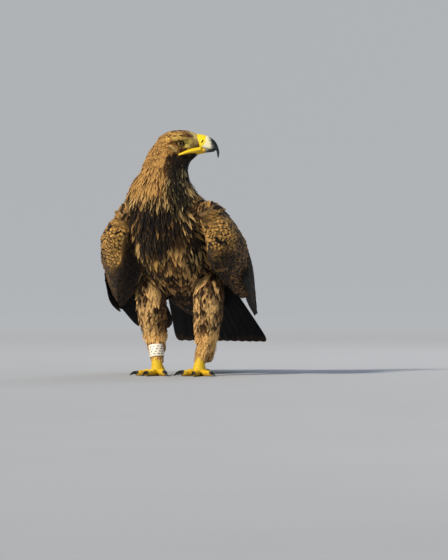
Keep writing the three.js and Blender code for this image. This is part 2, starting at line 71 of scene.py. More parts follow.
EYE_RADIUS = 10
EYE_AT = {"forward": 8.2, "up": 2.0, "out": 17.6}
BROW = {"up": 9.6, "thick": 3.4, "out": 3.1}  # the ridge over the eye

# Neck and trunk: x, y, z, half width, reach to the breast side, reach to the back
TORSO = [
    [-4, -47, 508, 24, 22, 22],
    [-10, -46, 491, 35, 27, 28],
    [-11, -47, 466, 48, 38, 38],
    [-14.5, -49, 440, 53, 43, 43],
    [-21, -52, 415, 66, 50, 50],
    [-18, -52, 390, 80, 60, 58],
    [-14, -44, 358, 92, 71, 66],
    [-9, -24, 318, 97, 84, 76],
    [-6, 14, 280, 96, 86, 78],
    [-4, 58, 246, 89, 80, 70],
    [-3, 104, 215, 77, 68, 56],
    [-2, 150, 190, 64, 58, 40],
    [-5, 203, 164, 50, 42, 22],
    [-8, 262, 132, 26, 13, 9],
]
# One thigh and shank, for the left leg: x and y from LEGS_AT, z, half width, reach forwards and backwards
THIGH = [
    [54, 30, 240, 26, 30, 34],
    [63, 16, 200, 35, 42, 46],
    [65, 10, 165, 34, 37, 46],
    [63, 11, 130, 32, 30, 42],
    [59, 16, 98, 29, 24, 36],
    [57, 22, 68, 24, 17, 27],
    [57, 28, 44, 18, 10, 17],
    [58, 32, 28, 6, 4, 7],
]
SHANK = [
    [60, 34, 122, 14, 12, 12],
    [57, 22, 92, 18, 16, 16],
    [54, 13, 66, 17.5, 16, 16],
    [51, 7, 44, 16.5, 15.5, 15.5],
    [48, 4, 27, 15, 14.5, 14.5],
]
# Shoulder feathers' bed, for the left side: x, y, z, half width, reach down, reach up
SCAPULARS = [
    [68, -76, 352, 10, 9, 8],
    [78, -58, 360, 32, 26, 20],
    [77, -6, 352, 38, 28, 20],
    [66, 50, 327, 35, 23, 16],
    [55, 108, 289, 29, 18, 12],
    [46, 160, 247, 18, 12, 8],
    [42, 188, 226, 6, 4, 3],
]
# The folded wing as a sheet, for the left side: y, lower x, lower z, upper x, upper z, outward bulge
WING = [
    [-94, 112, 268, 106, 306, 6],
    [-64, 130, 228, 98, 362, 30],
    [-2, 145, 197, 86, 376, 35],
    [72, 144, 166, 68, 350, 34],
    [150, 132, 147, 53, 300, 27],
    [230, 120, 132, 48, 246, 15],
    [300, 103, 123, 58, 187, 6],
    [350, 83, 119, 76, 137, 1],
]
WRIST_Y = -60  # where a loose wing swings out
WING_EASE = {LEFT: 0, RIGHT: 13}  # each wing's stand-off from the breast
WING_SPLAY = {LEFT: 0, RIGHT: 7.5}  # degrees that each wing's tip swings out
WING_DROOP = {LEFT: 0, RIGHT: 3.4}  # degrees that each wing's tip hangs down
WING_DROP = {LEFT: 0, RIGHT: 10}  # how much lower each wing is carried


# ------------------------------------------------------------------ small helpers
def at(points):
    """Metres in the model's frame, from millimetres in the bird's own."""
    return np.asarray(points, float) * MM + ORIGIN


def head_at(points):
    """Metres in the model's frame, from the head's own: x to the bill, y to the head's left, z up."""
    return at(turned(np.asarray(points, float)) + HEAD_AT)


def turned(vectors):
    """Vectors of the head's own frame, in the bird's."""
    angle = math.radians(HEAD_TURN)
    c, s = math.cos(angle), math.sin(angle)
    x, y, z = np.moveaxis(np.asarray(vectors, float), -1, 0)
    return np.stack([c * x - s * y, s * x + c * y, z], -1)


def in_heads_frame(vectors):
    """Vectors of the bird's frame, in the head's own."""
    return vectors @ turned(np.eye(3)).T


def carried(rows, side, start):
    """Rows of a left limb, put on either side of a start in the bird's frame."""
    return [[start[0] + side * x, start[1] + y, *rest] for x, y, *rest in rows]


def unit(vectors):
    vectors = np.asarray(vectors, float)
    return vectors / np.maximum(np.linalg.norm(vectors, axis=-1, keepdims=True), 1e-12)


def smoothstep(low, high, value):
    share = np.clip((value - low) / (high - low), 0, 1)
    return share * share * (3 - 2 * share)


def smooth_row(rows, t):
    """The smooth values through rows of numbers at each t from 0 to 1 (Catmull-Rom)."""
    rows = np.asarray(rows, float)
    last = len(rows) - 1
    place = np.clip(np.asarray(t, float), 0, 1) * last
    k = np.minimum(place.astype(int), last - 1)
    f = (place - k)[..., None]
    a, b, d, e = (rows[np.clip(k + step, 0, last)] for step in (-1, 0, 1, 2))
    return b + 0.5 * f * (d - a + f * (2 * a - 5 * b + 4 * d - e + f * (3 * (b - d) + e - a)))


def paint(r, g, b):
    """A linear colour from screen values between 0 and 1."""
    return np.array([((c + 0.055) / 1.055) ** 2.4 if c > 0.04 else c / 12.92 for c in (r, g, b)])


def oval_rings(rows, steps, sides, across):
    """Rings of ovals along a spine of steps, and the way that the spine runs at each."""
    t = np.linspace(0, 1, steps + 1)
    along = smooth_row(rows, t + 0.01)[:, :3] - smooth_row(rows, t - 0.01)[:, :3]
    along = unit(along - (along @ across)[:, None] * across)
    front = unit(np.cross(along, across))
    row = smooth_row(rows, t)
    angle = 2 * np.pi * np.arange(sides) / sides
    reach = np.where(np.sin(angle)[None] > 0, row[:, 4:5], row[:, 5:6]) * np.sin(angle)
    wide = row[:, 3:4] * np.cos(angle)
    rings = row[:, None, :3] + wide[..., None] * across + reach[..., None] * front[:, None]
    return rings, along


def band_faces(count, sides, closed=False):
    """Faces between rings that follow one another; closed joins the last ring to the first."""
    faces = []
    for k in range(count if closed else count - 1):
        m = (k + 1) % count
        for i in range(sides):
            j = (i + 1) % sides
            faces.append((k * sides + i, k * sides + j, m * sides + j, m * sides + i))
    return faces


def tube(rings):
    """Points and faces of a closed body through rings of points, with a point in the middle of each end."""
    rings = np.asarray(rings, float)
    count, sides = rings.shape[:2]
    faces = band_faces(count, sides)
    first, last = count * sides, count * sides + 1
    top = first - sides
    for i in range(sides):
        j = (i + 1) % sides
        faces.append((first, j, i))
        faces.append((last, top + i, top + j))
    ends = [rings[0].mean(0), rings[-1].mean(0)]
    return np.vstack([rings.reshape(-1, 3), ends]), faces


def plate_faces(rows, columns):
    """Faces of a closed plate: a grid of points above, the same grid below, and the rim between them."""
    top = np.arange(rows * columns).reshape(rows, columns)
    down = rows * columns
    faces = []
    for k in range(rows - 1):
        for i in range(columns - 1):
            a, b, c, d = top[k, i], top[k, i + 1], top[k + 1, i + 1], top[k + 1, i]
            faces.append((a, b, c, d))
            faces.append((d + down, c + down, b + down, a + down))
    rim = [*top[0], *top[1:, -1], *top[-1, -2::-1], *top[-2:0:-1, 0]]
    for here, there in zip(rim, [*rim[1:], rim[0]]):
        faces.append((there, here, here + down, there + down))
    return [tuple(int(i) for i in face) for face in faces]


def new_object(name, data):
    made = bpy.data.objects.new(name, data)
    bpy.context.scene.collection.objects.link(made)
    return made


def mesh_object(name, points, faces):
    mesh = bpy.data.meshes.new(name)
    mesh.from_pydata(np.asarray(points, float).tolist(), [], faces)
    mesh.shade_smooth()
    mesh.update()
    return new_object(name, mesh)


def joined(parts):
    """One list of points and one of faces, from several."""
    points, faces, base = [], [], 0
    for part_points, part_faces in parts:
        points.append(part_points)
        faces += [tuple(i + base for i in face) for face in part_faces]
        base += len(part_points)
    return np.vstack(points), faces


def facing_out(made):
    """Merges doubles and turns every face outwards."""
    bm = bmesh.new()
    bm.from_mesh(made.data)
    bmesh.ops.remove_doubles(bm, verts=bm.verts, dist=MERGE)
    bmesh.ops.recalc_face_normals(bm, faces=bm.faces)
    bm.to_mesh(made.data)
    bm.free()
    return made


def grown(made):
    """The plain mesh that an object's modifiers make; the object loses them."""
    graph = bpy.context.evaluated_depsgraph_get()
    mesh = bpy.data.meshes.new_from_object(made.evaluated_get(graph))
    made.modifiers.clear()
    return mesh


def blended(made, voxel, smoothing):
    """Melts overlapping closed bodies into one smooth skin."""
    remesh = made.modifiers.new("melt", "REMESH")
    remesh.mode = "VOXEL"
    remesh.voxel_size = voxel
    smooth = made.modifiers.new("smooth", "SMOOTH")
    smooth.factor = 0.5
    smooth.iterations = smoothing
    old = made.data
    made.data = grown(made)
    bpy.data.meshes.remove(old)
    made.data.shade_smooth()
    return made


def points_of(made):
    co = np.empty(len(made.data.vertices) * 3)
    made.data.vertices.foreach_get("co", co)
    return co.reshape(-1, 3)


def set_points(made, points):
    made.data.vertices.foreach_set("co", np.asarray(points, float).ravel())
    made.data.update()


def normals_of(made):
    normals = np.empty(len(made.data.vertices) * 3)
    made.data.vertex_normals.foreach_get("vector", normals)
    return normals.reshape(-1, 3)


ATTRIBUTE_KINDS = {1: ("INT", "value"), 3: ("FLOAT_VECTOR", "vector"), 4: ("FLOAT_COLOR", "color")}


def keep_values(made, name, values):
    """Stores a whole number, a vector or a colour with its opacity for each point."""
    kind, key = ATTRIBUTE_KINDS[1 if values.ndim == 1 else values.shape[1]]
    made.data.attributes.new(name, kind, "POINT").data.foreach_set(key, values.ravel())


def keep_colour(made, name, colours):
    keep_values(made, name, np.hstack([colours, np.ones((len(colours), 1))]))


def keep_tint(made, colours):
    """The colour of each point, for the materials."""
    keep_colour(made, "tint", colours)


def blend_tints(share, a, b):
    share = np.asarray(share)[:, None]
    return np.asarray(a) * (1 - share) + np.asarray(b) * share


def dressed(made, material, slot, *nodes):
    """Gives a finished piece its material and body, and hides the CAD nodes that it stands for; slot is not
    used.
    """
    made.data.materials.clear()
    made.data.materials.append(material)
    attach(made, "root")
    if nodes:
        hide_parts(*nodes)
    return made


# ------------------------------------------------------------------ node trees, written as arithmetic
class Wire:
    """A node's output that adds, multiplies and compares like a number or a vector."""

    def __init__(self, tree, socket):
        self.tree = tree
        self.socket = socket
        self.wide = socket.type in ("VECTOR", "RGBA")

    def math(self, operation, *others, number=False):
        """One step of arithmetic, on vectors where any value is one; number asks for a single result."""
        wide = self.wide or any(isinstance(o, Wire) and o.wide for o in others)
        kind = "ShaderNodeVectorMath" if wide else "ShaderNodeMath"
        made = self.tree.node(kind, {}, operation=operation)
        for socket, value in zip(made.inputs, (self, *others)):
            if wide and isinstance(value, (int, float)) and socket.type == "VECTOR":
                value = (value,) * 3
            self.tree.feed(socket, value)
        return Wire(self.tree, made.outputs["Value" if number or not wide else "Vector"])

    def __add__(self, other):
        return self.math("ADD", other)

    def __sub__(self, other):
        return self.math("SUBTRACT", other)

    def __mul__(self, other):
        return self.math("MULTIPLY", other)

    def __pow__(self, other):
        return self.math("POWER", other)

    def __rsub__(self, other):
        return (self * -1.0) + other

    __radd__ = __add__
    __rmul__ = __mul__

    def cross(self, other):
        return self.math("CROSS_PRODUCT", other)

    def unit(self):
        return self.math("NORMALIZE")

    def least(self, other):
        return self.math("MINIMUM", other)

    def most(self, other):
        return self.math("MAXIMUM", other)

    def size(self):
        return self.math("ABSOLUTE")

    def sine(self):
        return self.math("SINE")

    def over(self, low, high):
        """0 below low and 1 above high, soft at both ends."""
        sockets = {"Value": self, "From Min": low, "From Max": high}
        return self.tree.get("ShaderNodeMapRange", sockets, interpolation_type="SMOOTHSTEP")

    def parts(self):
        made = self.tree.node("ShaderNodeSeparateXYZ", {0: self})
        return [Wire(self.tree, output) for output in made.outputs]


class Tree:
    """A node tree that is filled by calls and arithmetic."""

    def __init__(self, group):
        self.group = group

    def feed(self, socket, value):
        if isinstance(value, Wire):
            self.group.links.new(value.socket, socket)
        else:
            socket.default_value = value

    def node(self, kind, sockets, **settings):
        made = self.group.nodes.new(kind)
        for name, value in settings.items():
            setattr(made, name, value)
        for key, value in sockets.items():
            self.feed(made.inputs[key], value)
        return made

    def get(self, kind, sockets=None, output=0, **settings):
        return Wire(self, self.node(kind, sockets or {}, **settings).outputs[output])

    def vector(self, x, y, z=0.0):
        return self.get("ShaderNodeCombineXYZ", {0: x, 1: y, 2: z})

    def mix(self, share, a, b):
        """Between two colours."""
        made = self.node("ShaderNodeMix", {0: share}, data_type="RGBA")
        self.feed(made.inputs[6], a)
        self.feed(made.inputs[7], b)
        return Wire(self, made.outputs[2])


# ------------------------------------------------------------------ camera, light and stage
VIEW_HEIGHT = 1.204  # metres that the frame takes in at the bird
VIEW_TURN = 16  # degrees that the camera stands to the bird's left of straight ahead
VIEW_AIM = (98.9, 206.4)  # the middle of the view: to the right of the bird's origin, and up
LENS = 200
SENSOR = 36
FARTHEST = 60  # metres that the camera sees
SUN = {"from": (-1.6, -2.9, 2.2), "strength": 3.9, "spread": 7, "colour": (1.0, 0.88, 0.70)}
LIGHTS_AIM = (0, 20, 260)  # the soft lights look here, in millimetres
# Soft lights: where they stand from there in metres, size, power, colour
SOFT_LIGHTS = {
    "fill": ((2.6, -2.6, 0.8), 2.5, 9, (0.80, 0.88, 1.0)),
    "rim": ((0.6, 2.4, 2.2), 1.2, 15, (0.92, 0.95, 1.0)),
}
SKY, SKY_STRENGTH = (0.70, 0.79, 0.95, 1), 0.34
# The stage in metres: its flat floor, the bend at its edge, how high its wall stands
STAGE_FLAT, STAGE_BEND, STAGE_HIGH = 8.0, 4.5, 6.5
STAGE_SIDES = 72
WALL_FROM, WALL_FULL = 3.0, 8.0  # metres from the bird between which the paper gives way to the wall
PAPER_DEEP, PAPER_PALE = (0.42, 0.45, 0.50, 1), (0.45, 0.48, 0.53, 1)
WALL_DARK, WALL_GLOW, GLOW_STRENGTH = (0.02, 0.022, 0.025, 1), (0.91, 0.95, 1.0, 1), 0.42


def look_from(name, data, place, target):
    made = new_object(name, data)
    made.location = Vector(place)
    made.rotation_euler = (Vector(target) - Vector(place)).to_track_quat("-Z", "Y").to_euler()
    return made


def make_camera():
    turn = math.radians(VIEW_TURN)
    sideways = np.array([math.cos(turn), math.sin(turn), 0])
    back = np.array([math.sin(turn), -math.cos(turn), 0])
    across, up = VIEW_AIM
    aim = at(sideways * across + Z * up)
    data = bpy.data.cameras.new("camera")
    data.lens = LENS
    data.sensor_fit = "VERTICAL"
    data.sensor_height = SENSOR
    data.clip_end = FARTHEST
    place = aim + back * VIEW_HEIGHT * LENS / SENSOR
    bpy.context.scene.camera = look_from("camera", data, place, aim)


def make_lights():
    """One warm sun, a soft light in front of the bird, one behind it and a pale sky."""
    sun = bpy.data.lights.new("sun", "SUN")
    sun.energy = SUN["strength"]
    sun.angle = math.radians(SUN["spread"])
    sun.color = SUN["colour"]
    look_from("sun", sun, SUN["from"], (0, 0, 0))
    middle = at(LIGHTS_AIM)
    for name, (place, size, power, colour) in SOFT_LIGHTS.items():
        data = bpy.data.lights.new(name, "AREA")
        data.size = size
        data.energy = power
        data.color = colour
        look_from(name, data, middle + np.array(place), middle)
    world = bpy.data.worlds.new("studio")
    world.use_nodes = True
    sky = world.node_tree.nodes["Background"]
    sky.inputs["Color"].default_value = SKY
    sky.inputs["Strength"].default_value = SKY_STRENGTH
    bpy.context.scene.world = world
    bpy.context.scene.view_settings.view_transform = "Standard"


def make_stage():
    """A floor of pale paper that bends up into a softly glowing wall all round."""
    profile = [(0.5, 0.0), (2.0, 0.0), (5.0, 0.0)]
    for angle in np.linspace(0, np.pi / 2, 13):
        out, rise = STAGE_BEND * math.sin(angle), STAGE_BEND * math.cos(angle)
        profile.append((STAGE_FLAT + out, STAGE_BEND - rise))
    profile.append((STAGE_FLAT + STAGE_BEND, STAGE_HIGH))
    turn = np.linspace(0, 2 * np.pi, STAGE_SIDES, endpoint=False)
    points = [(0.0, 0.0, 0.0)]
    for radius, height in profile:
        points += [(radius * math.cos(a), radius * math.sin(a), height) for a in turn]
    faces = [(0, 1 + i, 1 + (i + 1) % STAGE_SIDES) for i in range(STAGE_SIDES)]
    faces += [(1 + a, 1 + d, 1 + c, 1 + b) for a, b, c, d in band_faces(len(profile), STAGE_SIDES)]
    floor = mesh_object("floor", points, faces)
    material, tree, shader = new_material("studio_paper", 0.9)
    place = tree.get("ShaderNodeTexCoord", output="Object")
    mottle = tree.get("ShaderNodeTexNoise", {"Vector": place, "Scale": 3.0, "Detail": 2.0})
    paper = tree.mix(mottle, PAPER_DEEP, PAPER_PALE)
    wall = place.math("LENGTH", number=True).over(WALL_FROM, WALL_FULL)
    tree.feed(shader.inputs["Base Color"], tree.mix(wall, paper, WALL_DARK))
    shader.inputs["Emission Color"].default_value = WALL_GLOW
    tree.feed(shader.inputs["Emission Strength"], wall * GLOW_STRENGTH)
    floor.data.materials.append(material)
    floor.visible_shadow = False


# ------------------------------------------------------------------ materials
FULL_TURN = 6.283


def new_material(name, roughness, **constants):
    """A material, its tree and its shader, with the shader's constant sockets set."""
    material = bpy.data.materials.new(name)
    material.use_nodes = True
    shader = material.node_tree.nodes["Principled BSDF"]
    shader.inputs["Roughness"].default_value = roughness
    for socket, value in constants.items():
        shader.inputs[socket.replace("_", " ")].default_value = value
    return material, Tree(material.node_tree), shader


def colour_of(tree, name):
    return tree.get("ShaderNodeAttribute", output="Color", attribute_name=name)


def bumped(tree, shader, height, distance):
    tree.feed(shader.inputs["Normal"], tree.get("ShaderNodeBump", {"Height": height, "Distance": distance}))


def feather_material(name, barbs, sheen):
    """Vanes: a tint, a rim, a streak along the shaft, and barbs that slant to the edges. u runs from the
    shaft to either edge, y from the root to the tip."""
    material, tree, shader = new_material(name, 0.68, Sheen_Weight=sheen, Specular_IOR_Level=0.13)
    vane = tree.get("ShaderNodeUVMap", uv_map="vane")
    x, y, _ = vane.parts()
    u = (x * 2.0 - 1.0).size()
    wide, streak, chance = colour_of(tree, "mark").parts()
    own_place = tree.vector(x * 5.0 + chance * 31.0, y * 5.0, chance * 57.0)
    grain = tree.get("ShaderNodeTexNoise", {"Vector": own_place, "Scale": 1.0, "Detail": 3.0})
    slant = y * barbs + u * (barbs * -0.35) + grain * 2.5
    barb = (slant * FULL_TURN).sine()
    edge = u.most(y * 1.04 - 0.04) + (grain - 0.5) * 0.34
    rim = edge.over(1.0 - wide * 1.15, 1.0 - wide * 0.45)
    body = tree.mix(rim, colour_of(tree, "tint"), colour_of(tree, "rim"))
    # darker along the shaft, and at the root, where the next feather shades it
    shaft = 1.0 - u.over(0.05, 0.42)
    root = 1.0 - y.over(0.1, 0.62)
    dark = 1.0 - shaft * streak * (1.0 - rim * 0.6)
    shade = dark * (1.0 - root * 0.5) * (barb * 0.07 + 0.96) * (grain * 0.5 + 0.75)
    tree.feed(shader.inputs["Base Color"], body * shade)
    quill = 1.0 - u.over(0.0, 0.09)
    bumped(tree, shader, barb * 0.35 + quill * 1.2 + grain * 0.8, 0.0004)
    return material


def skin_material():
    """Skin under the coat, with the coat's colours darkened as painted shade between the feathers, and the
    pits of the follicles.
    """
    material, tree, shader = new_material("skin_under_coat", 0.8)
    place = tree.get("ShaderNodeTexCoord", output="Object")
    pits = tree.get("ShaderNodeTexVoronoi", {"Vector": place, "Scale": 260.0})
    mottle = tree.get("ShaderNodeTexNoise", {"Vector": place, "Scale": 90.0, "Detail": 3.0})
    tree.feed(shader.inputs["Base Color"], colour_of(tree, "tint") * (mottle * 0.9 + 0.4))
    bumped(tree, shader, pits, 0.0006)
    return material


def tinted_material(name, roughness, scale, grain, depth, cells=False, **constants):
    """Horn, cere and scaly skin: the piece's own tints, a grain of that scale and strength, and its relief
    in metres; cells breaks it into scales."""
    material, tree, shader = new_material(name, roughness, **constants)
    place = tree.get("ShaderNodeTexCoord", output="Object")
    fine = tree.get("ShaderNodeTexNoise", {"Vector": place, "Scale": scale, "Detail": 4.0})
    shade = (fine - 0.5) * grain + 1.0
    relief = fine
    if cells:
        sockets = {"Vector": place, "Scale": scale}
        border = tree.get("ShaderNodeTexVoronoi", sockets, feature="DISTANCE_TO_EDGE").over(0.0, 0.16)
        relief = fine * 0.3 + border
        shade = shade * (border * 0.30 + 0.70)
    tree.feed(shader.inputs["Base Color"], colour_of(tree, "tint") * shade)
    tree.feed(shader.inputs["Roughness"], fine * 0.25 + (roughness - 0.12))
    bumped(tree, shader, relief, depth)
    return material


TAWNY = feather_material("tawny_feather", 20.0, 0.06)
BROWN = feather_material("brown_feather", 26.0, 0.05)
DARK = feather_material("dark_quill", 70.0, 0.0)
SKIN = skin_material()
HORN = tinted_material("bill_and_claw_horn", 0.36, 160.0, 0.22, 0.00012, Coat_Weight=0.12)
CERE_SKIN = tinted_material("waxy_cere", 0.42, 420.0, 0.16, 0.00022, Subsurface_Weight=0.08)
SCALES = tinted_material("toe_scales", 0.48, 430.0, 0.30, 0.00040, cells=True)
SCUTES = tinted_material("toe_scutes", 0.42, 420.0, 0.22, 0.00020)
LID_SKIN = tinted_material("eyelid", 0.62, 500.0, 0.35, 0.00025, Specular_IOR_Level=0.15)
EYE = tinted_material("wet_eye", 0.16, 900.0, 0.45, 0.00002, Specular_IOR_Level=0.10, Coat_Weight=0.16)
BAND = tinted_material("leg_band", 0.38, 120.0, 0.10, 0.00005)

# ------------------------------------------------------------------ looks of the plumage
# Ground colour, second colour, share of the feathers in the second colour, how far a feather's rim takes
# it on, the rim's width, how dark the streak along the shaft is
LOOKS = {
    "crown": (paint(0.34, 0.19, 0.08), paint(0.97, 0.77, 0.43), 0.60, 0.5, 0.32, 0.60),
    "nape": (paint(0.34, 0.20, 0.085), paint(0.88, 0.68, 0.395), 0.64, 0.6, 0.32, 0.65),
    "brow": (paint(0.21, 0.095, 0.06), paint(0.60, 0.35, 0.17), 0.28, 0.25, 0.30, 0.40),
    "ridge": (paint(0.58, 0.42, 0.19), paint(0.96, 0.82, 0.44), 0.75, 0.4, 0.40, 0.25),
    "stripe": (paint(0.36, 0.21, 0.10), paint(0.66, 0.46, 0.23), 0.25, 0.20, 0.30, 0.40),
    "dull_lore": (paint(0.48, 0.40, 0.22), paint(0.80, 0.69, 0.40), 0.45, 0.3, 0.30, 0.20),
    "lore": (paint(0.80, 0.65, 0.28), paint(0.99, 0.89, 0.46), 0.70, 0.3, 0.30, 0.15),
    "crescent": (paint(0.96, 0.84, 0.50), paint(1.0, 0.93, 0.64), 0.85, 0.3, 0.30, 0.02),
    "cheek": (paint(0.40, 0.24, 0.11), paint(0.88, 0.66, 0.35), 0.62, 0.5, 0.40, 0.50),
    "throat": (paint(0.055, 0.036, 0.027), paint(0.13, 0.08, 0.05), 0.06, 0.06, 0.20, 0.20),
    "foreneck": (paint(0.065, 0.043, 0.028), paint(0.86, 0.78, 0.54), 0.17, 0.14, 0.16, 0.30),
    "breast": (paint(0.09, 0.055, 0.034), paint(0.80, 0.61, 0.35), 0.26, 0.24, 0.18, 0.60),
    "streaky": (paint(0.10, 0.062, 0.036), paint(0.86, 0.71, 0.46), 0.38, 0.24, 0.18, 0.50),
    "black": (paint(0.055, 0.037, 0.028), paint(0.66, 0.49, 0.28), 0.07, 0.10, 0.16, 0.30),
    "belly": (paint(0.105, 0.062, 0.035), paint(0.82, 0.63, 0.37), 0.30, 0.26, 0.22, 0.50),
    # the vent: ochre-brown feathers, painted dark here as painted shade under the body between the thighs
    "vent": (paint(0.075, 0.045, 0.028), paint(0.26, 0.15, 0.08), 0.12, 0.16, 0.22, 0.30),
    "thigh": (paint(0.20, 0.115, 0.055), paint(0.88, 0.71, 0.46), 0.50, 0.22, 0.30, 0.40),
    "thigh_side": (paint(0.20, 0.115, 0.06), paint(0.72, 0.55, 0.33), 0.26, 0.24, 0.26, 0.40),
    "shank": (paint(0.72, 0.52, 0.28), paint(0.93, 0.74, 0.46), 0.72, 0.50, 0.30, 0.06),
    "shoulder": (paint(0.15, 0.085, 0.045), paint(0.82, 0.63, 0.36), 0.38, 0.35, 0.24, 0.55),
    "mantle": (paint(0.15, 0.10, 0.065), paint(0.56, 0.42, 0.25), 0.22, 0.50, 0.24, 0.35),
    "rump": (paint(0.30, 0.21, 0.12), paint(0.66, 0.51, 0.31), 0.50, 0.45, 0.30, 0.45),
    "lesser": (paint(0.88, 0.68, 0.37), paint(0.09, 0.055, 0.03), 0.14, 1.0, 0.38, 1.4),
    "scallop": (paint(0.14, 0.085, 0.045), paint(0.66, 0.49, 0.28), 0.10, 0.85, 0.20, 0.30),
    "median": (paint(0.065, 0.045, 0.032), paint(0.52, 0.40, 0.24), 0.02, 0.55, 0.12, 0.30),
    "underwing": (paint(0.075, 0.05, 0.036), paint(0.54, 0.39, 0.21), 0.02, 0.55, 0.12, 0.30),
    "tuft": (paint(0.09, 0.06, 0.045), paint(0.16, 0.10, 0.07), 0.30, 0.20, 0.20, 0.20),
}
LOOK_NAMES = list(LOOKS)
LOOK_ROWS = np.array([np.hstack([ground, second, rest]) for ground, second, *rest in LOOKS.values()])
# Which of a row's five looks each of the eight points round a limb takes
AROUND = (0, 1, 2, 3, 3, 4, 4, 4)
# The guides' blend: points taken at a time, softest distance squared, fall-off
BLOCK, SOFTEST, FALL_OFF = 8000, 9.0, -2.2


# ------------------------------------------------------------------ the lie of the coat
def look_row(name):
    return LOOK_ROWS[LOOK_NAMES.index(name)]


class Guides:
    """Places on the bird, with the way its feathers lie there, their sizes and their look."""

    def __init__(self):
        self.places, self.lies, self.sizes, self.looks = [], [], [], []

    def add(self, place, lie, sizes, look):
        self.places.append(place)
        self.lies.append(unit(lie))
        self.sizes.append(sizes)
        self.looks.append(look_row(look))

    def along(self, rows, across, sizes, looks):
        """Guides round a limb or trunk: sizes for each row; looks from its left by the front to its back."""
        rings, along = oval_rings(rows, len(rows) - 1, len(AROUND), across)
        for ring, way, size, names in zip(rings, along, sizes, looks):
            for place, number in zip(ring, AROUND):
                self.add(place, way, size, names[number])

    def at(self, points):
        """Lie, sizes and look at each point (millimetres), as a blend of the guides around it."""
        places = np.array(self.places)
        nearness = []
        for start in range(0, len(points), BLOCK):
            gap = points[start : start + BLOCK, None] - places[None]
            nearness.append((np.einsum("ijk,ijk->ij", gap, gap) + SOFTEST) ** FALL_OFF)
        weight = np.vstack(nearness)
        weight /= weight.sum(1, keepdims=True)
        return [weight @ np.array(rows) for rows in (self.lies, self.sizes, self.looks)]


# Sizes: a feather's length, width, depth of the coat, point (0 round, 1 lance), looseness
TORSO_SIZES = [
    [11, 4.5, 3, 0.9, 0.3],
    [14, 5, 4, 1.0, 0.4],
    [19, 5.0, 5, 1.0, 0.5],
    [25, 5.6, 6, 1.0, 0.6],
    [29, 5.8, 7, 1.0, 0.7],
    [31, 7.2, 8, 1.0, 0.8],
    [34, 9, 9, 0.95, 0.8],
    [37, 10.5, 9, 0.85, 0.8],
    [39, 13, 9, 0.7, 0.8],
    [41, 15, 9, 0.55, 0.7],
    [44, 17, 8, 0.4, 0.6],
    [46, 19, 7, 0.3, 0.5],
    [48, 20, 6, 0.25, 0.4],
    [42, 18, 3, 0.25, 0.3],
]
# For each row of the torso: left, left of the breast, breast, right, back
TORSO_LOOKS = [
    ["throat", "throat", "nape", "crown", "nape"],
    ["throat", "throat", "nape", "nape", "nape"],
    ["foreneck", "throat", "nape", "nape", "nape"],
    ["foreneck", "foreneck", "nape", "nape", "nape"],
    ["streaky", "foreneck", "nape", "nape", "nape"],
    ["streaky", "foreneck", "streaky", "streaky", "shoulder"],
    ["streaky", "streaky", "breast", "breast", "mantle"],
    ["breast", "streaky", "breast", "streaky", "mantle"],
    ["belly", "belly", "breast", "belly", "mantle"],
    ["belly", "vent", "vent", "belly", "mantle"],
    ["vent", "vent", "vent", "vent", "rump"],
    ["vent", "vent", "vent", "vent", "rump"],
    ["vent", "vent", "vent", "vent", "rump"],
    ["vent", "vent", "vent", "vent", "rump"],
]
THIGH_SIZES = [
    [36, 12.5, 7, 0.75, 0.5],
    [36, 12.5, 7, 0.75, 0.5],
    [35, 12, 7, 0.75, 0.5],
    [32, 11, 6, 0.75, 0.5],
    [27, 9, 6, 0.75, 0.45],
    [19, 6.5, 5, 0.8, 0.35],
    [14, 5, 4, 0.8, 0.35],
    [10, 4, 2, 0.8, 0.3],
]
THIGH_LOOKS = [["thigh_side", "thigh", "thigh", "thigh", "thigh_side"]] * 4 + [["shank"] * 5] * 4
SHANK_LOOKS = [["shank"] * 5] * 5
SHANK_SIZES = [
    [14, 5, 3.5, 0.7, 0.2],
    [11, 4.2, 3.2, 0.7, 0.15],
    [9, 3.6, 3.6, 0.7, 0.1],
    [8, 3.2, 3.6, 0.7, 0.1],
    [7, 3.0, 2.6, 0.7, 0.1],
]
SCAPULAR_LOOKS = [["shoulder"] * 5] * 2 + [["mantle"] * 5] * 5
SCAPULAR_SIZES = [
    [19, 6.5, 4, 0.9, 0.5],
    [24, 8.5, 6, 0.8, 0.5],
    [32, 13, 8, 0.5, 0.45],
    [42, 19, 8, 0.3, 0.4],
    [52, 25, 7, 0.2, 0.4],
    [52, 26, 5, 0.2, 0.3],
    [46, 22, 2, 0.2, 0.2],
]
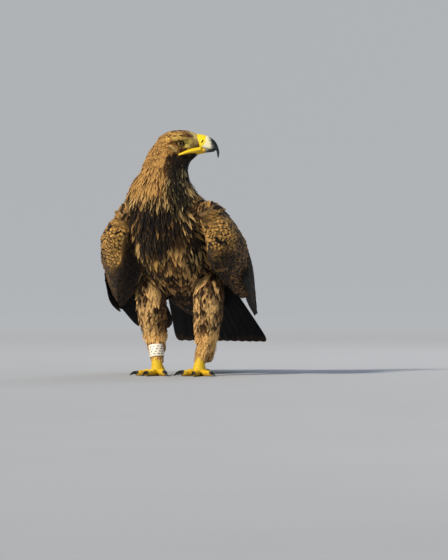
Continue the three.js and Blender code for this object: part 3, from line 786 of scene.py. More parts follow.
# The head, for its left half: place and lie in the head's frame, sizes, look
HEAD_GUIDES = [
    [(37, 7, 26.5), (-1, 0.1, 0.4), [3.7, 1.88, 1.0, 0.9, 0.1], "crescent"],
    [(40, 10, 22), (-1, 0.3, 0.4), [3.4, 1.75, 1.0, 0.9, 0.1], "crescent"],
    [(43, 12.5, 16.5), (-1, 0.4, 0.3), [3.2, 1.62, 0.9, 0.9, 0.1], "crescent"],
    [(34, 5, 30), (-1, 0.1, 0.3), [4.4, 2.25, 1.2, 0.9, 0.1], "brow"],
    [(24, 6, 33), (-1, 0.1, 0.3), [5.2, 2.5, 1.4, 0.8, 0.1], "brow"],
    [(12, 6, 35), (-1, 0.1, 0), [6.3, 3, 1.8, 0.8, 0.15], "brow"],
    [(-12, 3, 34), (-1, 0, -0.3), [9, 3.6, 2.4, 0.9, 0.3], "brow"],
    [(0, 6, 35.5), (-1, 0, -0.1), [8, 3.5, 2.2, 0.8, 0.2], "brow"],
    [(27, 13, 29), (-1, 0.2, 0.2), [4.8, 2.38, 1.4, 0.8, 0.1], "crown"],
    [(16, 16, 31), (-1, 0.1, 0), [6, 2.88, 1.8, 0.8, 0.15], "crown"],
    [(3, 18, 31), (-1, 0, -0.1), [7.5, 3.38, 2.2, 0.8, 0.2], "crown"],
    [(-12, 12, 32), (-1, 0, -0.3), [9.8, 4, 2.4, 0.9, 0.3], "crown"],
    [(-28, 10, 25), (-0.8, 0, -0.7), [10.5, 3.6, 2.8, 1.0, 0.4], "nape"],
    [(-40, 8, 10), (-0.4, 0, -1), [12, 4, 3, 1.0, 0.4], "nape"],
    [(-42, 8, -8), (-0.2, 0, -1), [13, 4.4, 3, 1.0, 0.4], "nape"],
    [(38, 13, 19), (-1, 0.3, 0.2), [3.9, 2, 1.2, 0.8, 0.1], "brow"],
    [(28, 18, 22), (-1, 0.3, 0.1), [4.8, 2.38, 1.4, 0.8, 0.1], "brow"],
    [(16, 22, 24), (-1, 0.2, 0), [5.8, 2.75, 1.8, 0.8, 0.15], "crown"],
    [(4, 24, 24), (-1, 0.1, -0.1), [6.9, 3.12, 2, 0.8, 0.2], "crown"],
    [(-8, 27, 17), (-1, 0.1, -0.2), [7.5, 3.25, 2, 0.8, 0.2], "crown"],
    [(24, 21, 13), (-1, 0.3, 0.1), [4.4, 2.12, 1.3, 0.8, 0.1], "ridge"],
    [(12, 27, 13), (-1, 0.2, 0.05), [4.8, 2.38, 1.5, 0.8, 0.1], "ridge"],
    [(0, 29, 12.5), (-1, 0.1, -0.2), [5.8, 2.75, 1.8, 0.8, 0.15], "ridge"],
    [(-3, 29, 7), (-1, 0, -0.5), [5.3, 2.38, 1.6, 0.8, 0.1], "stripe"],
    [(-9, 29.5, 2.5), (-1, 0, -0.5), [5.8, 2.5, 1.7, 0.8, 0.1], "stripe"],
    [(-16, 29, -1), (-1, 0, -0.4), [6.9, 3, 2, 0.8, 0.1], "crown"],
    [(-16, 28, 16), (-1, 0, -0.3), [9.2, 3.75, 2.4, 0.9, 0.3], "crown"],
    [(-13, 29, 9), (-1, 0, -0.4), [7.5, 3.25, 2.2, 0.9, 0.2], "crown"],
    [(-28, 24, 10), (-0.8, 0, -0.7), [10, 3.6, 2.8, 1.0, 0.3], "nape"],
    [(41, 13, 9), (-1, 0.4, -0.1), [3, 1.25, 0.8, 1.0, 0.2], "dull_lore"],
    [(40, 13.5, 1), (-1, 0.4, -0.1), [3, 1.25, 0.8, 1.0, 0.2], "dull_lore"],
    [(34, 16, -2), (-1, 0.4, -0.2), [3, 1.25, 0.8, 1.0, 0.2], "dull_lore"],
    [(32, 17, 6), (-1, 0.4, -0.2), [3.2, 1.38, 0.8, 1.0, 0.2], "lore"],
    [(24, 21, 3), (-1, 0.3, -0.4), [3.4, 1.62, 0.9, 1.0, 0.1], "lore"],
    [(27, 20, -6), (-1, 0.3, -0.4), [3.7, 1.75, 0.9, 1.0, 0.1], "lore"],
    [(18.5, 24, -11), (-1, 0.1, -0.4), [4.6, 2.12, 1.3, 0.8, 0.1], "brow"],
    [(9, 27, -12), (-1, 0.1, -0.4), [4.6, 2.25, 1.4, 0.8, 0.1], "cheek"],
    [(1, 29, -7.5), (-1, 0, -0.6), [4.6, 2, 1.3, 0.8, 0.1], "cheek"],
    [(-3, 29.5, -3), (-1, 0, -0.6), [4.6, 2, 1.3, 0.8, 0.1], "cheek"],
    [(-10.5, 29.5, -3.5), (-1, 0, -0.05), [3.0, 1.6, 1.2, 0.8, 0.1], "cheek"],
    [(-6, 29.8, -7), (-1, 0, -0.05), [3.0, 1.6, 1.2, 0.8, 0.1], "cheek"],
    [(-1.6, 29.4, -10.7), (-1, 0, -0.05), [3.0, 1.6, 1.2, 0.8, 0.1], "cheek"],
    [(2.8, 28.4, -14.4), (-1, 0, -0.05), [3.0, 1.6, 1.2, 0.8, 0.1], "cheek"],
    [(-13, 29, -7), (-0.9, 0, -0.6), [6.3, 2.75, 2, 0.9, 0.2], "cheek"],
    [(-8.5, 29, -11), (-0.9, 0, -0.6), [6.3, 2.75, 2, 0.9, 0.2], "cheek"],
    [(-4, 28.5, -15), (-0.9, 0, -0.6), [6.3, 2.75, 2, 0.9, 0.2], "cheek"],
    [(-22, 28, -8), (-0.8, 0, -0.7), [9.8, 4, 2.6, 1.0, 0.3], "nape"],
    [(-18, 27, -22), (-0.5, 0, -1), [10, 3.6, 3, 1.0, 0.3], "nape"],
    [(2, 26, -20), (-0.8, 0, -0.8), [7.5, 3, 2, 0.9, 0.2], "throat"],
    [(-7, 27, -24), (-0.7, 0, -0.8), [8.6, 3.5, 2.3, 0.9, 0.2], "throat"],
    [(-14, 25, -34), (-0.5, 0, -1), [9, 3.2, 2.6, 0.9, 0.3], "throat"],
    [(16, 22, -24), (-0.8, 0, -0.8), [6.3, 2.75, 1.8, 0.9, 0.2], "throat"],
    [(2, 22, -36), (-0.5, 0, -1), [9.8, 4, 2.4, 0.9, 0.3], "throat"],
    [(24, 16, -27), (-1, 0, -0.4), [5.8, 2.75, 1.6, 0.9, 0.2], "throat"],
    [(38, 6, -26), (-1, 0, -0.3), [4.1, 2, 1.1, 0.9, 0.2], "throat"],
    [(22, 6, -42), (-0.6, 0, -0.8), [8, 3.75, 2.2, 0.9, 0.3], "throat"],
]


# Thin marks on both sides of the face, in the head's frame: points of a line as x and z, half width, look
FACE_MARKS = [
    [[(-9.5, -2), (-3, -7), (5, -14)], 1.5, "crescent"],
    [[(34, 28), (39, 21.5), (43, 16)], 1.2, "crescent"],
    [[(2, 10), (-6, 6.5), (-12, 2.5)], 1.2, "stripe"],
    [[(14, 18.5), (24, 17), (36, 17)], 1.1, "brow"],
    [[(26, -8), (18, -12.5)], 1.6, "brow"],
]


def face_marked(in_head, look):
    """The looks with the face's thin marks blended in, at points of the head's own frame."""
    places = in_head[:, ::2]
    for line, half_width, name in FACE_MARKS:
        line = np.array(line, float)
        gap = np.full(len(places), np.inf)
        for start, way in zip(line, np.diff(line, axis=0)):
            along = np.clip((places - start) @ way / (way @ way), 0, 1)[:, None]
            gap = np.minimum(gap, np.linalg.norm(places - start - along * way, axis=1))
        share = smoothstep(1.5 * half_width, 0.8 * half_width, gap)[:, None]
        look = look * (1 - share) + look_row(name) * share
    return look


def wing_point(side, s, t, depth=0.0):
    """On a folded wing: s from the wrist to the tip, t from its lower to its upper edge, depth inwards."""
    s, t, depth = np.broadcast_arrays(*(np.asarray(value, float) for value in (s, t, depth)))
    y, low_x, low_z, high_x, high_z, bulge = np.moveaxis(smooth_row(WING, s), -1, 0)
    chord_x, chord_z = high_x - low_x, high_z - low_z
    out = unit(np.stack([chord_z, -chord_x], -1))
    lift = 4 * bulge * t * (1 - t) - depth
    x = low_x + chord_x * t + out[..., 0] * lift
    z = low_z + chord_z * t + out[..., 1] * lift
    swing = np.radians(WING_SPLAY[side]) * (1 - 0.5 * t)
    behind = y - WRIST_Y
    droop = math.tan(math.radians(WING_DROOP[side]))
    across = side * (x + WING_EASE[side] + behind * np.sin(swing))
    height = z - WING_DROP[side] * (1 - t) - behind * droop
    return np.stack([across, WRIST_Y + behind * np.cos(swing), height], -1)


# The dark patch on the breast: height, and from where to where across
BLACK_PATCH = [(350, -64, 8), (328, -62, 12), (304, -54, 6), (282, -44, -4)]
BREAST_Y, BREAST_LEAN, BREAST_Z = -104, -0.12, 256  # the breast's face, how it leans, and from what height
# Single spots on the belly's face: across, height, look
BELLY_Y = -106
BELLY_SPOTS = [
    [16, 274, "shank"],
    [15, 262, "shank"],
    [-28, 262, "ridge"],
    [-44, 250, "ridge"],
    [36, 242, "black"],
    [-12, 232, "black"],
    [24, 208, "black"],
    [-2, 212, "vent"],
]
FRONT_SIZES = TORSO_SIZES[7]
FRONT_LIE = (0, 0.1, -1)
# Dark feathers behind each heel: outwards from the stance, backwards, up
HEEL_TUFT = [(62, 52, 46), (60, 54, 36), (66, 44, 40)]
HEEL_SIZES = [12, 4, 3, 0.6, 0.9]


def body_guides():
    guides = Guides()
    guides.along(TORSO, X, TORSO_SIZES, TORSO_LOOKS)
    for side in (LEFT, RIGHT):
        guides.along(carried(THIGH, side, LEGS_AT), X, THIGH_SIZES, THIGH_LOOKS)
        guides.along(carried(SHANK, side, LEGS_AT), X, SHANK_SIZES, SHANK_LOOKS)
        ease = 0.8 * WING_EASE[side]
        bed = [[side * (x + ease), *rest] for x, *rest in SCAPULARS]
        guides.along(bed, X, SCAPULAR_SIZES, SCAPULAR_LOOKS)
        mirrored = np.array([1, side, 1])
        for place, lie, sizes, look in HEAD_GUIDES:
            guides.add(turned(mirrored * place) + HEAD_AT, turned(mirrored * lie), sizes, look)
    for z, low, high in BLACK_PATCH:
        for x in np.linspace(low, high, 5):
            place = (x, BREAST_Y + BREAST_LEAN * (z - BREAST_Z), z)
            guides.add(place, FRONT_LIE, FRONT_SIZES, "black")
    for x, z, look in BELLY_SPOTS:
        guides.add((x, BELLY_Y, z), FRONT_LIE, FRONT_SIZES, look)
    for side in (LEFT, RIGHT):
        for out, y, z in HEEL_TUFT:
            guides.add((STANCE[0] + side * out, y, z), (side * 0.3, 0.3, -1), HEEL_SIZES, "tuft")
    return guides


# How low the golden feathers reach on each wrist, and how far back along the wing
GOLDEN_REACH = {LEFT: (272, 0.15), RIGHT: (236, 0.30)}
WING_FACES = (0, 40)  # how deep a wing's outer face and the one towards the body lie


def wing_look(side, s, t, deep, height):
    """The look of a wing's small feathers: golden round the wrist, scalloped dark ones below and behind."""
    low, back = GOLDEN_REACH[side]
    if deep and s > 0.12:
        return "underwing"
    if height > low + 120 * s and s < back:
        return "lesser"
    if t > 0.7:
        return "shoulder" if s < 0.4 else "mantle"
    return "scallop" if height > low - 6 or s > 0.16 else "median"


def wing_guides(side):
    guides = Guides()
    for s in np.linspace(0.0, 0.7, 12):
        for t in np.linspace(0.0, 1.0, 8):
            size = 9.5 + 44 * s + 4 * t
            sizes = [size, size * 0.6, 2.5 + 5 * s, 0.2, 0.15]
            for depth in WING_FACES:
                place = wing_point(side, s, t, depth)
                lie = wing_point(side, s + 0.02, t - 0.004, depth) - place
                guides.add(place, lie, sizes, wing_look(side, s, t, depth > 0, place[2]))
    return guides


def wing_places(side, points):
    """Where points lie on a folded wing: s from wrist to tip, t from lower to upper edge, depth inwards."""
    grid = np.meshgrid(np.linspace(0, 1, 71), np.linspace(0, 1, 31), np.arange(-4.0, 40, 4), indexing="ij")
    rows = np.stack(grid, -1).reshape(-1, 3)
    tree = KDTree(len(rows))
    for number, spot in enumerate(wing_point(side, *rows.T)):
        tree.insert(spot, number)
    tree.balance()
    return rows[[tree.find(point)[1] for point in points]].T


# ------------------------------------------------------------------ the skin
SKIN_VOXEL = 0.00268  # metres
TRACTS = ["head", "neck", "breast", "back", "scapulars", "wing_left", "wing_right", "thighs", "shanks"]
FLESH = {
    "head": ["head"],
    "neck": ["neck"],
    "breast": ["trunk"],
    "back": ["rump"],
    "scapulars": ["scapulars_left", "scapulars_right"],
    "wing_left": ["wing_left_coverts"],
    "wing_right": ["wing_right_coverts"],
    "thighs": ["thigh_left", "thigh_right"],
    "shanks": ["shank_left", "shank_right"],
}
FLESH_NODES = [node for names in FLESH.values() for node in names]

# Soft filling that closes the skin between the solids. In the head's frame: under the lores and the chin,
# as x, y, z, half width, reach up, reach down; on each shoulder: x, y, z, half width, reach down, reach up
LORES = [
    [24, 0, 3, 15, 20, 13],
    [38, 0, 3, 16.2, 21.5, 13],
    [44, 0, 2, 15.8, 16, 11],
    [49, 0, 0, 14, 8, 8],
    [53, 0, 0, 9, 3, 4],
]
CHIN = [
    [6, 0, -26, 14, 12, 30],
    [15, 0, -24, 15, 12, 27],
    [22, 0, -22, 14, 10, 21],
    [29, 0, -20, 13, 8, 14.5],
    [38, 0, -17, 11.5, 6, 9],
    [46, 0, -14.5, 9, 4, 6],
    [51, 0, -13, 4, 2, 2.5],
]
SHOULDER = [
    [74, -86, 346, 12, 10, 10],
    [88, -74, 350, 17, 16, 14],
    [98, -48, 354, 17, 16, 14],
    [100, -24, 352, 8, 8, 8],
]


def filling():
    """The soft filling's bodies, in metres."""
    bodies = []
    for rows in (LORES, CHIN):
        points, faces = tube(oval_rings(rows, 20, 24, Y)[0])
        bodies.append((head_at(points), faces))
    for side in (LEFT, RIGHT):
        ease, drop = WING_EASE[side], 0.4 * WING_DROP[side]
        rows = [[side * (x + ease), y, z - drop, *rest] for x, y, z, *rest in SHOULDER]
        points, faces = tube(oval_rings(rows, 20, 20, X)[0])
        bodies.append((at(points), faces))
    return joined(bodies)


def node_copy(name, nodes):
    """A merged copy of some CAD solids, with the soft filling between them."""
    bm = bmesh.new()
    for node in nodes:
        bm.from_mesh(frame["nodes"][node].data)
    soft = facing_out(mesh_object("filling", *filling()))
    bm.from_mesh(soft.data)
    bpy.data.objects.remove(soft)
    bmesh.ops.remove_doubles(bm, verts=bm.verts, dist=MERGE)
    mesh = bpy.data.meshes.new(name)
    bm.to_mesh(mesh)
    bm.free()
    return new_object(name, mesh)


def nearest_tract(points):
    """Which tract's solids each point lies nearest to."""
    vertices, triangles, owners = [], [], []
    for number, tract in enumerate(TRACTS):
        for node in FLESH[tract]:
            mesh = frame["nodes"][node].data
            base = len(vertices)
            vertices += [v.co[:] for v in mesh.vertices]
            faces = [tuple(base + i for i in p.vertices) for p in mesh.polygons]
            triangles += faces
            owners += [number] * len(faces)
    solids = BVHTree.FromPolygons(vertices, triangles)
    return np.array([owners[solids.find_nearest(p)[2]] for p in points.tolist()])


# The socket in the head's frame, round the eye: half length, half height, from where to where outwards
SOCKET = {"half_length": 11, "half_height": 13, "from": 5, "to": 23}
WALL_FACING = 0.2  # past the socket only skin that faces outwards bears feathers
# The bed of the lids, an oval round the eye: its middle from the eye, its half lengths
LID_BED, LID_BED_HALF = np.array([1, 0, 0]), np.array([9.3, 16, 7.0])
COVERTS_FROM = 0.40  # where along the wing the small feathers give way to the coverts made one by one
# Feathers on a wing's front turn to this lie, as the skin there faces more and more forwards
WING_FRONT_LIE, WING_FRONT = np.array([0.80, 0.15, -0.55]), (0.30, 0.85)
SKIN_SHADE = 0.72  # painted shade: the skin between the feathers takes this share of the coat's own colour


def eye_at(side):
    return np.array([EYE_AT["forward"], side * EYE_AT["out"], EYE_AT["up"]])


def bare_at_eye(side, in_head, heading):
    """Where one eye's socket and lids keep the skin bare: points and normals of the head's own frame."""
    from_eye = in_head - eye_at(side)
    out = side * in_head[:, 1]
    near = np.abs(from_eye[:, 0]) < SOCKET["half_length"]
    near &= np.abs(from_eye[:, 2]) < SOCKET["half_height"]
    near &= out > SOCKET["from"]
    walls = near & ((out < SOCKET["to"]) | (side * heading[:, 1] < WALL_FACING))
    bed = (from_eye - LID_BED) / LID_BED_HALF
    return walls | (np.sum(bed**2, 1) < 1)


def make_skin():
    """One skin over all the flesh, with what the coat needs to know kept at each of its points."""
    skin = blended(node_copy("skin", FLESH_NODES), SKIN_VOXEL, 10)
    outer = points_of(skin)
    normals = normals_of(skin)
    birds_own = (outer - ORIGIN) / MM
    tract = nearest_tract(outer)
    in_head = in_heads_frame(birds_own - HEAD_AT)
    heading = in_heads_frame(normals)

    lie, sizes, look = body_guides().at(birds_own)
    look = face_marked(in_head, look)
    outer = outer + brow_and_temples(in_head) * MM
    bare = np.zeros(len(outer), bool)
    for side in (LEFT, RIGHT):
        mine = tract == TRACTS.index(f"wing_{SIDE_NAME[side]}")
        lie[mine], sizes[mine], look[mine] = wing_guides(side).at(birds_own[mine])
        facing = smoothstep(*WING_FRONT, -normals[mine, 1:2])
        lie[mine] = unit(lie[mine] * (1 - facing) + facing * WING_FRONT_LIE * (side, 1, 1))
        s, t, depth = wing_places(side, birds_own[mine])
        bare[mine] = (s > COVERTS_FROM + 0.05 * t) & (depth < 10)
        bare |= bare_at_eye(side, in_head, heading)
    breast, back = TRACTS.index("breast"), TRACTS.index("back")
    behind = birds_own[:, 1] > along_back(birds_own[:, 2])
    tract = np.where((tract == breast) & behind, back, tract)
    tract = np.where(bare, -1, tract)

    set_points(skin, outer - normals * sizes[:, 2:3] * MM)
    lie = unit(lie - np.sum(lie * normals, 1, keepdims=True) * normals)
    ground, second, share, edging = np.split(look, (3, 6, 7), axis=1)
    keep_values(skin, "out", normals)
    keep_values(skin, "lie", lie)
    keep_values(skin, "sizes", sizes[:, :3] * MM)
    keep_values(skin, "manner", np.hstack([sizes[:, 3:], share]))
    keep_values(skin, "edging", edging)
    keep_colour(skin, "ground", ground)
    keep_colour(skin, "pale", second)
    keep_values(skin, "tract", tract.astype(np.int32))
    # the skin's tint: the coat's own colour, darkened as painted shade between the feathers
    keep_tint(skin, SKIN_SHADE * (ground * (1 - share) + second * share))
    unwrap(skin)
    return skin


def soft_band(value, middle, reach):
    """1 at the middle, falling off to both sides."""
    return np.exp(-(((value - middle) / reach) ** 2))


CROWN = {"up": 22, "thick": 7.5, "out": 1.7, "lift": 1.3}  # the crown's sides
TEMPLE = {"up": -3, "thick": 9, "out": 2.6}
BROW_SINK = 0.4  # how far the ridge over the eye comes down


def brow_and_temples(in_head):
    """How far the ridge over each eye, the crown's sides and the temples stand out from the head (bird's
    own frame, millimetres)."""
    x, y, z = in_head.T
    outside = smoothstep(8, 16, np.abs(y))
    ridge = soft_band(z, BROW["up"] + 0.10 * (x - 8), BROW["thick"])
    ridge *= smoothstep(-16, -3, x) * smoothstep(32, 22, x) * outside
    crown = soft_band(z, CROWN["up"], CROWN["thick"]) * smoothstep(-38, -24, x) * smoothstep(38, 20, x)
    crown *= smoothstep(5, 13, np.abs(y))
    temple = soft_band(z, TEMPLE["up"], TEMPLE["thick"])
    temple *= smoothstep(1, -9, x) * smoothstep(-40, -24, x) * outside
    across = BROW["out"] * ridge + CROWN["out"] * crown + TEMPLE["out"] * temple
    upwards = CROWN["lift"] * crown - BROW_SINK * ridge
    return turned(np.outer(across * np.sign(y), Y) + np.outer(upwards, Z))


def along_back(z):
    """How far behind the bird's origin the line between breast and back runs, at each height."""
    _, y, height = np.array(TORSO, float)[::-1, :3].T
    return np.interp(z, height, y)


def unwrap(skin):
    """Lays the skin out flat by its own shape, in islands."""
    bpy.context.view_layer.objects.active = skin
    for other in bpy.context.selected_objects:
        other.select_set(False)
    skin.select_set(True)
    skin.data.uv_layers.new(name="unwrap")
    bpy.ops.object.mode_set(mode="EDIT")
    bpy.ops.mesh.select_all(action="SELECT")
    bpy.ops.uv.smart_project(angle_limit=math.radians(66), island_margin=0.002)
    bpy.ops.object.mode_set(mode="OBJECT")
    skin.select_set(False)


# ------------------------------------------------------------------ the coat
COAT_INPUTS = {
    "Skin": "NodeSocketGeometry",
    "Tract": "NodeSocketInt",
    "Spacing": "NodeSocketFloat",
    "Rows": "NodeSocketInt",
    "Columns": "NodeSocketInt",
    "Seed": "NodeSocketInt",
    "Material": "NodeSocketMaterial",
}
# How finely the coat is mottled: waves to the metre, in clumps of feathers and in specks
CLUMPS, SPECKS = 42.0, 170.0
SMALL, LARGE = 0.008, 0.018  # lengths in metres between which specks give way to clumps
# How much single feathers differ from the lie: turn, length, sideways bend
YAW, STRETCH, BEND = 0.16, 0.16, 0.22
CAMBER, ROLL = -0.11, 0.07  # how far a vane's edges sink, and how far it rolls over, for its width
QUARTER_TURN = 1.5708
BAKE_PATCH = (0.0015, 0.003)  # each feather's patch on the bake map


def coat_tree():
    """Feathers on one tract of a skin, along its lie."""
    group = bpy.data.node_groups.new("feather_tract", "GeometryNodeTree")
    for name, kind in COAT_INPUTS.items():
        group.interface.new_socket(name, in_out="INPUT", socket_type=kind)
    group.interface.new_socket("Coat", in_out="OUTPUT", socket_type="NodeSocketGeometry")
    tree = Tree(group)
    inputs = group.nodes.new("NodeGroupInput").outputs
    given = {name: Wire(tree, inputs[name]) for name in COAT_INPUTS}
    skin, seed, spacing = given["Skin"], given["Seed"], given["Spacing"]

    def named(name, kind="FLOAT_VECTOR"):
        return tree.get("GeometryNodeInputNamedAttribute", {"Name": name}, data_type=kind)

    def stored(geometry, name, value, kind="FLOAT_VECTOR", domain="POINT"):
        sockets = {"Geometry": geometry, "Name": name, "Value": value}
        return tree.get("GeometryNodeStoreNamedAttribute", sockets, data_type=kind, domain=domain)

    def dice(offset, low=0.0):
        """Three random numbers between low and 1 for each feather."""
        sockets = {0: (low,) * 3, 1: (1.0,) * 3, "Seed": seed + float(offset)}
        return tree.get("FunctionNodeRandomValue", sockets, data_type="FLOAT_VECTOR")

    tracts = {2: named("tract", "INT"), 3: given["Tract"]}
    chosen = tree.get("FunctionNodeCompare", tracts, data_type="INT", operation="EQUAL")
    sown = {
        "Mesh": skin,
        "Selection": chosen,
        "Distance Min": spacing,
        "Density Max": spacing**-2.0 * 3.0,
        "Seed": seed,
    }
    roots = tree.get("GeometryNodeDistributePointsOnFaces", sown, distribute_method="POISSON")
    # what each feather is like, settled at its root
    place = tree.get("GeometryNodeInputPosition")
    pointed, loose, share = named("manner").parts()
    edging, rim_wide, streak = named("edging").parts()
    clump = tree.get("ShaderNodeTexNoise", {"Vector": place, "Scale": CLUMPS, "Detail": 2.0})
    first, second, third = dice(11).parts()
    speck = tree.get("ShaderNodeTexNoise", {"Vector": place, "Scale": SPECKS, "Detail": 1.0})
    # large feathers take the second colour in clumps, small ones in specks
    small = 1.0 - named("sizes").parts()[0].over(SMALL, LARGE)
    cloud = (clump - 0.5) * (1.7 - small * 1.1) + (speck - 0.5) * small * 1.9
    is_pale = (share + cloud - first * 0.6 - 0.2).over(-0.06, 0.06)
    ground, pale = named("ground", "FLOAT_COLOR"), named("pale", "FLOAT_COLOR")
    tone = second * 0.55 + 0.72
    tint = tree.mix(is_pale, ground, pale) * tone
    # a rim that takes on the second colour, more on some feathers than on others
    edged = (edging + (third - 0.5) * 0.7 + is_pale * 0.6).least(1.0).most(0.0)
    rim = tree.mix(edged, tint, pale * (tone * 0.4 + 0.66))
    roots = stored(roots, "root", place)
    roots = stored(roots, "tint", tint, "FLOAT_COLOR")
    roots = stored(roots, "rim", rim, "FLOAT_COLOR")
    roots = stored(roots, "mark", tree.vector(rim_wide, streak * (is_pale * 0.7 + 0.3), third))
    roots = stored(roots, "whim", dice(23, -1.0))
    roots = stored(roots, "whim_more", dice(37, -1.0))

    # one flat vane: u from -1 to 1 across, v from 0 at the root to 1, its rows closer together at the tip
    counts = {"Vertices X": given["Columns"], "Vertices Y": given["Rows"]}
    grid = tree.get("GeometryNodeMeshGrid", {"Size X": 2.0, "Size Y": 1.0, **counts})
    on_grid = tree.get("GeometryNodeInputPosition") + (0.0, 0.5, 0.0)
    grid_u, grid_v, _ = on_grid.parts()
    grid = stored(grid, "vane_at", tree.vector(grid_u, (grid_v * QUARTER_TURN).sine()))
    feathers = tree.get("GeometryNodeInstanceOnPoints", {"Points": roots, "Instance": grid})
    feathers = tree.get("GeometryNodeRealizeInstances", {"Geometry": feathers})

    # where each point of each feather lies
    u, v, _ = named("vane_at").parts()
    length, width, depth = named("sizes").parts()
    yaw, stretch, bend = named("whim").parts()
    lifted, rolled, raised = named("whim_more").parts()
    out, lie = named("out").unit(), named("lie")
    side = lie.cross(out).unit()
    way = (lie + side * (yaw * YAW)).unit()
    side = way.cross(out).unit()
    # its outline, from a round tip to a lance, and its place on the flat beside its root
    sharp = 1.35 + (1.0 - pointed) * 4.3
    tip = (1.0 - v**sharp).most(0.0) ** (0.5 + pointed * 0.4)
    outline = (tip * (v.over(-0.25, 0.5) * 0.75 + 0.25)).most(0.05)
    reach = length * (stretch * STRETCH + 1.0)
    sweep = u * outline * width * 0.5 + bend * width * BEND * v * v
    flat = named("root") + way * (reach * v) + side * sweep

    def skin_below(value):
        sockets = {"Mesh": skin, "Sample Position": flat, "Value": value}
        return tree.get("GeometryNodeSampleNearestSurface", sockets, data_type="FLOAT_VECTOR")

    ground_at = skin_below(place)
    out_at = skin_below(named("out")).unit()
    # how far it stands off the skin: laid over its neighbours, loose at the tip, rolled across
    layer = depth * (0.12 + 0.80 * v**0.85) + depth * (lifted * 0.10)
    flare = depth * loose * v * v * (raised * 0.45 + 0.10)
    camber = u * u * outline * width * CAMBER + u * rolled * width * ROLL
    laid = ground_at + out_at * (layer + flare + camber)
    feathers = tree.get("GeometryNodeSetPosition", {"Geometry": feathers, "Position": laid})
    patch = named("unwrap") + tree.vector(u * BAKE_PATCH[0], (v - 0.5) * BAKE_PATCH[1])
    feathers = stored(feathers, "OFBake", patch, "FLOAT2", "CORNER")
    feathers = stored(feathers, "vane", tree.vector(u * 0.5 + 0.5, v), "FLOAT2", "CORNER")
    feathers = tree.get("GeometryNodeSetMaterial", {"Geometry": feathers, "Material": given["Material"]})
    tree.node("NodeGroupOutput", {0: feathers})
    return group


COAT_KEEPS = {"tint", "rim", "mark", "OFBake", "vane"}
MESH_KEEPS = {"position", "sharp_face", "material_index"}
FIRST_SEED = 100  # of the first tract's random draws
# Tract: how many metres apart its feathers root, points along and across each, material and its slot
COATS = {
    "head": (0.0015, 4, 3, TAWNY, "plumage_tawny"),
    "neck": (0.0034, 5, 3, TAWNY, "plumage_tawny"),
    "breast": (0.0057, 6, 5, BROWN, "plumage_brown"),
    "back": (0.0070, 6, 5, BROWN, "plumage_brown"),
    "scapulars": (0.0066, 7, 5, BROWN, "plumage_brown"),
    "wing_left": (0.0056, 6, 5, TAWNY, "plumage_tawny"),
    "wing_right": (0.0056, 6, 5, TAWNY, "plumage_tawny"),
    "thighs": (0.0046, 5, 3, TAWNY, "plumage_tawny"),
    "shanks": (0.0024, 4, 3, TAWNY, "plumage_tawny"),
}


def plain_feathers(mesh):
    """Drops the values that only the making needed."""
    for name in [a.name for a in mesh.attributes]:
        if not (name in COAT_KEEPS or name in MESH_KEEPS or name.startswith(".")):
            mesh.attributes.remove(mesh.attributes[name])
    return mesh


def make_coat(skin, group, tract):
    """One tract's feathers, grown on the skin as a piece of their own."""
    spacing, rows, columns, material, slot = COATS[tract]
    number = TRACTS.index(tract)
    values = {
        "Tract": number,
        "Spacing": spacing,
        "Rows": rows,
        "Columns": columns,
        "Seed": FIRST_SEED + number,
        "Material": material,
    }
    grower = skin.modifiers.new("coat", "NODES")
    grower.node_group = group
    for item in group.interface.items_tree:
        if item.in_out == "INPUT" and item.name in values:
            grower[item.identifier] = values[item.name]
    mesh = grown(skin)
    mesh.shade_smooth()
    return dressed(new_object(f"coat_{tract}", plain_feathers(mesh)), material, slot)


# ------------------------------------------------------------------ quills of wing and tail
VANE_COLUMNS = np.array([-1, -0.66, -0.3, 0, 0.3, 0.66, 1])
QUILL_V = 1 - (1 - np.linspace(0, 1, 16)) ** 1.7  # rows along a quill, closer together at its tip
SHAFT_HIGH, SHAFT_WIDE, VANE_SINK = 0.9, 0.12, 0.8  # the shaft's ridge, and how far a vane's edges sink
# In its cell of the bake map, a quill's patch: margin, width, height; the underside has the other half
PATCH_EDGE, PATCH_WIDE, PATCH_HIGH = 0.04, 0.44, 0.92
WING_SEED, TAIL_SEED = 40, 7


def tip_rounding(v, sharp, soft=0.5):
    """How wide a vane still is at v: 1 along its length, closing over its tip."""
    return np.maximum((1 - np.clip(v, 0, 1) ** sharp) ** soft, 0.03)


